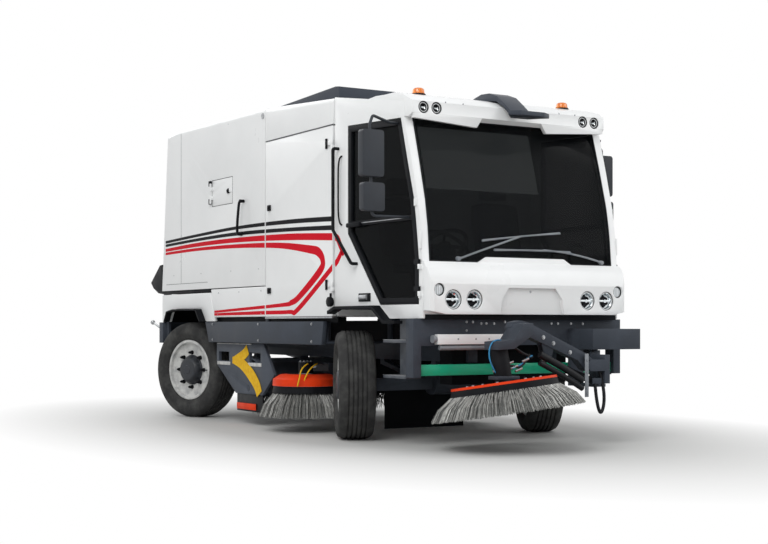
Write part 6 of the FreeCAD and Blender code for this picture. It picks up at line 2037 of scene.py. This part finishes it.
@dataclass(frozen=True)
class Studio:
    """A pale floor, soft lights and the camera.

    Attributes:
        eye: the camera's place.
        level: the direction it looks in.
        lens: focal length in millimetres on a 36 mm sensor.
        rise: the vertical shift.
    """

    eye: Point = (10.698, -6.338, 0.917)
    level: Point = (-0.86, 0.511, 0.0)
    lens: float = 64.54
    rise: float = 0.069

    def build(self) -> None:
        """Make everything that isn't the truck."""
        self.floor()
        self.world()
        self.lights()
        self.camera()

    def floor(self) -> None:
        """A wide pale floor that keeps the truck's shadow."""
        form = Form()
        bmesh.ops.create_grid(form.mesh, x_segments=1, y_segments=1, size=60.0)
        data = bpy.data.meshes.new("floor")
        form.mesh.to_mesh(data)
        form.mesh.free()
        data.materials.append(self.floor_surface())
        floor = bpy.data.objects.new("floor", data)
        bpy.context.scene.collection.objects.link(floor)

    def floor_surface(self) -> bpy.types.Material:
        """Grey floor near the truck, painted shade round it over the real shadow, brightening to
        white far off.

        Returns:
            The material.
        """
        made = FLOOR_PAINT_AND_SHADE.material()
        tree = made.node_tree
        place = add_node(tree, "ShaderNodeTexCoord").outputs["Object"]
        squeezed = add_node(tree, "ShaderNodeVectorMath", {"operation": "MULTIPLY"},
                            {1: (0.55, 1.0, 1.0)}, {0: place})
        reach = add_node(tree, "ShaderNodeVectorMath", {"operation": "LENGTH"},
                         links={0: squeezed.outputs[0]})
        # painted shade: the floor stays grey paint within this reach of the truck, white beyond
        far = add_node(tree, "ShaderNodeMapRange", values={"From Min": 1.5, "From Max": 3.3},
                       links={"Value": reach.outputs["Value"]})
        share = add_node(tree, "ShaderNodeMath", {"operation": "MULTIPLY"}, links={
            0: far.outputs[0], 1: self.seen(tree)})
        bright = add_node(tree, "ShaderNodeEmission", values={"Color": (1, 1, 1, 1),
                                                              "Strength": 1.0})
        mixed = add_node(tree, "ShaderNodeMixShader", links={
            0: share.outputs[0], 1: tree.nodes["Principled BSDF"].outputs[0],
            2: bright.outputs[0]})
        tree.links.new(mixed.outputs[0], tree.nodes["Material Output"].inputs["Surface"])
        return made

    def seen(self, tree: bpy.types.NodeTree) -> bpy.types.NodeSocket:
        """A socket that is 1 for the rays that show a background, straight or in a mirror.

        Args:
            tree: the node tree that needs it.

        Returns:
            The socket.
        """
        rays = add_node(tree, "ShaderNodeLightPath")
        total = rays.outputs["Is Camera Ray"]
        for kind in ("Is Glossy Ray", "Is Transmission Ray"):
            total = add_node(tree, "ShaderNodeMath", {"operation": "MAXIMUM"},
                             links={0: total, 1: rays.outputs[kind]}).outputs[0]
        return total

    def world(self) -> None:
        """A soft sky that the camera sees as plain white."""
        world = bpy.data.worlds.new("studio")
        world.use_nodes = True
        bpy.context.scene.world = world
        tree = world.node_tree
        output = tree.nodes["World Output"]
        soft = tree.nodes["Background"]
        soft.inputs["Color"].default_value = linear(Shade.SKY)
        soft.inputs["Strength"].default_value = 0.52
        bare = add_node(tree, "ShaderNodeBackground", values={"Color": (1, 1, 1, 1),
                                                              "Strength": 1.0})
        mixed = add_node(tree, "ShaderNodeMixShader", links={
            0: self.seen(tree), 1: soft.outputs[0], 2: bare.outputs[0]})
        tree.links.new(mixed.outputs[0], output.inputs["Surface"])

    def lights(self) -> None:
        """One wide light over each front corner and a weak one behind."""
        for name, place, power, size in (
                ("key_light", (6.0, -7.0, 8.0), 560.0, 6.0),
                ("fill_light", (7.5, 6.0, 6.0), 240.0, 6.0),
                ("back_light", (-8.0, -2.0, 7.0), 200.0, 6.0)):
            data = bpy.data.lights.new(name, "AREA")
            data.energy, data.size = power, size
            light = bpy.data.objects.new(name, data)
            light.location = place
            aim = Vector((0.4, 0, 1.2)) - Vector(place)
            light.rotation_euler = aim.to_track_quat("-Z", "Y").to_euler()
            bpy.context.scene.collection.objects.link(light)

    def camera(self) -> None:
        """The camera, level, with the framing carried by its shift."""
        data = bpy.data.cameras.new("camera")
        data.lens, data.sensor_width, data.shift_y = self.lens, 36.0, self.rise
        camera = bpy.data.objects.new("camera", data)
        camera.location = self.eye
        camera.rotation_euler = Vector(self.level).to_track_quat("-Z", "Y").to_euler()
        bpy.context.scene.collection.objects.link(camera)
        bpy.context.scene.camera = camera
        bpy.context.scene.view_settings.view_transform = "Standard"


def main() -> None:
    """Build the stage and every group of the truck, in order."""
    logging.basicConfig(level=logging.INFO, format="%(message)s")
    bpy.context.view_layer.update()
    Studio().build()
    for end in ("front", "rear"):
        for side, sign in SIDES:
            Wheel(end, side, sign).build()
    LowerBody().build()
    Hopper().build()
    EngineBay().build()
    Cab().build()
    for side, sign in SIDES:
        Seat(side, sign).build()
    FrontGear().build()
    SideGear().build()


if __name__ == "__main__":
    main()
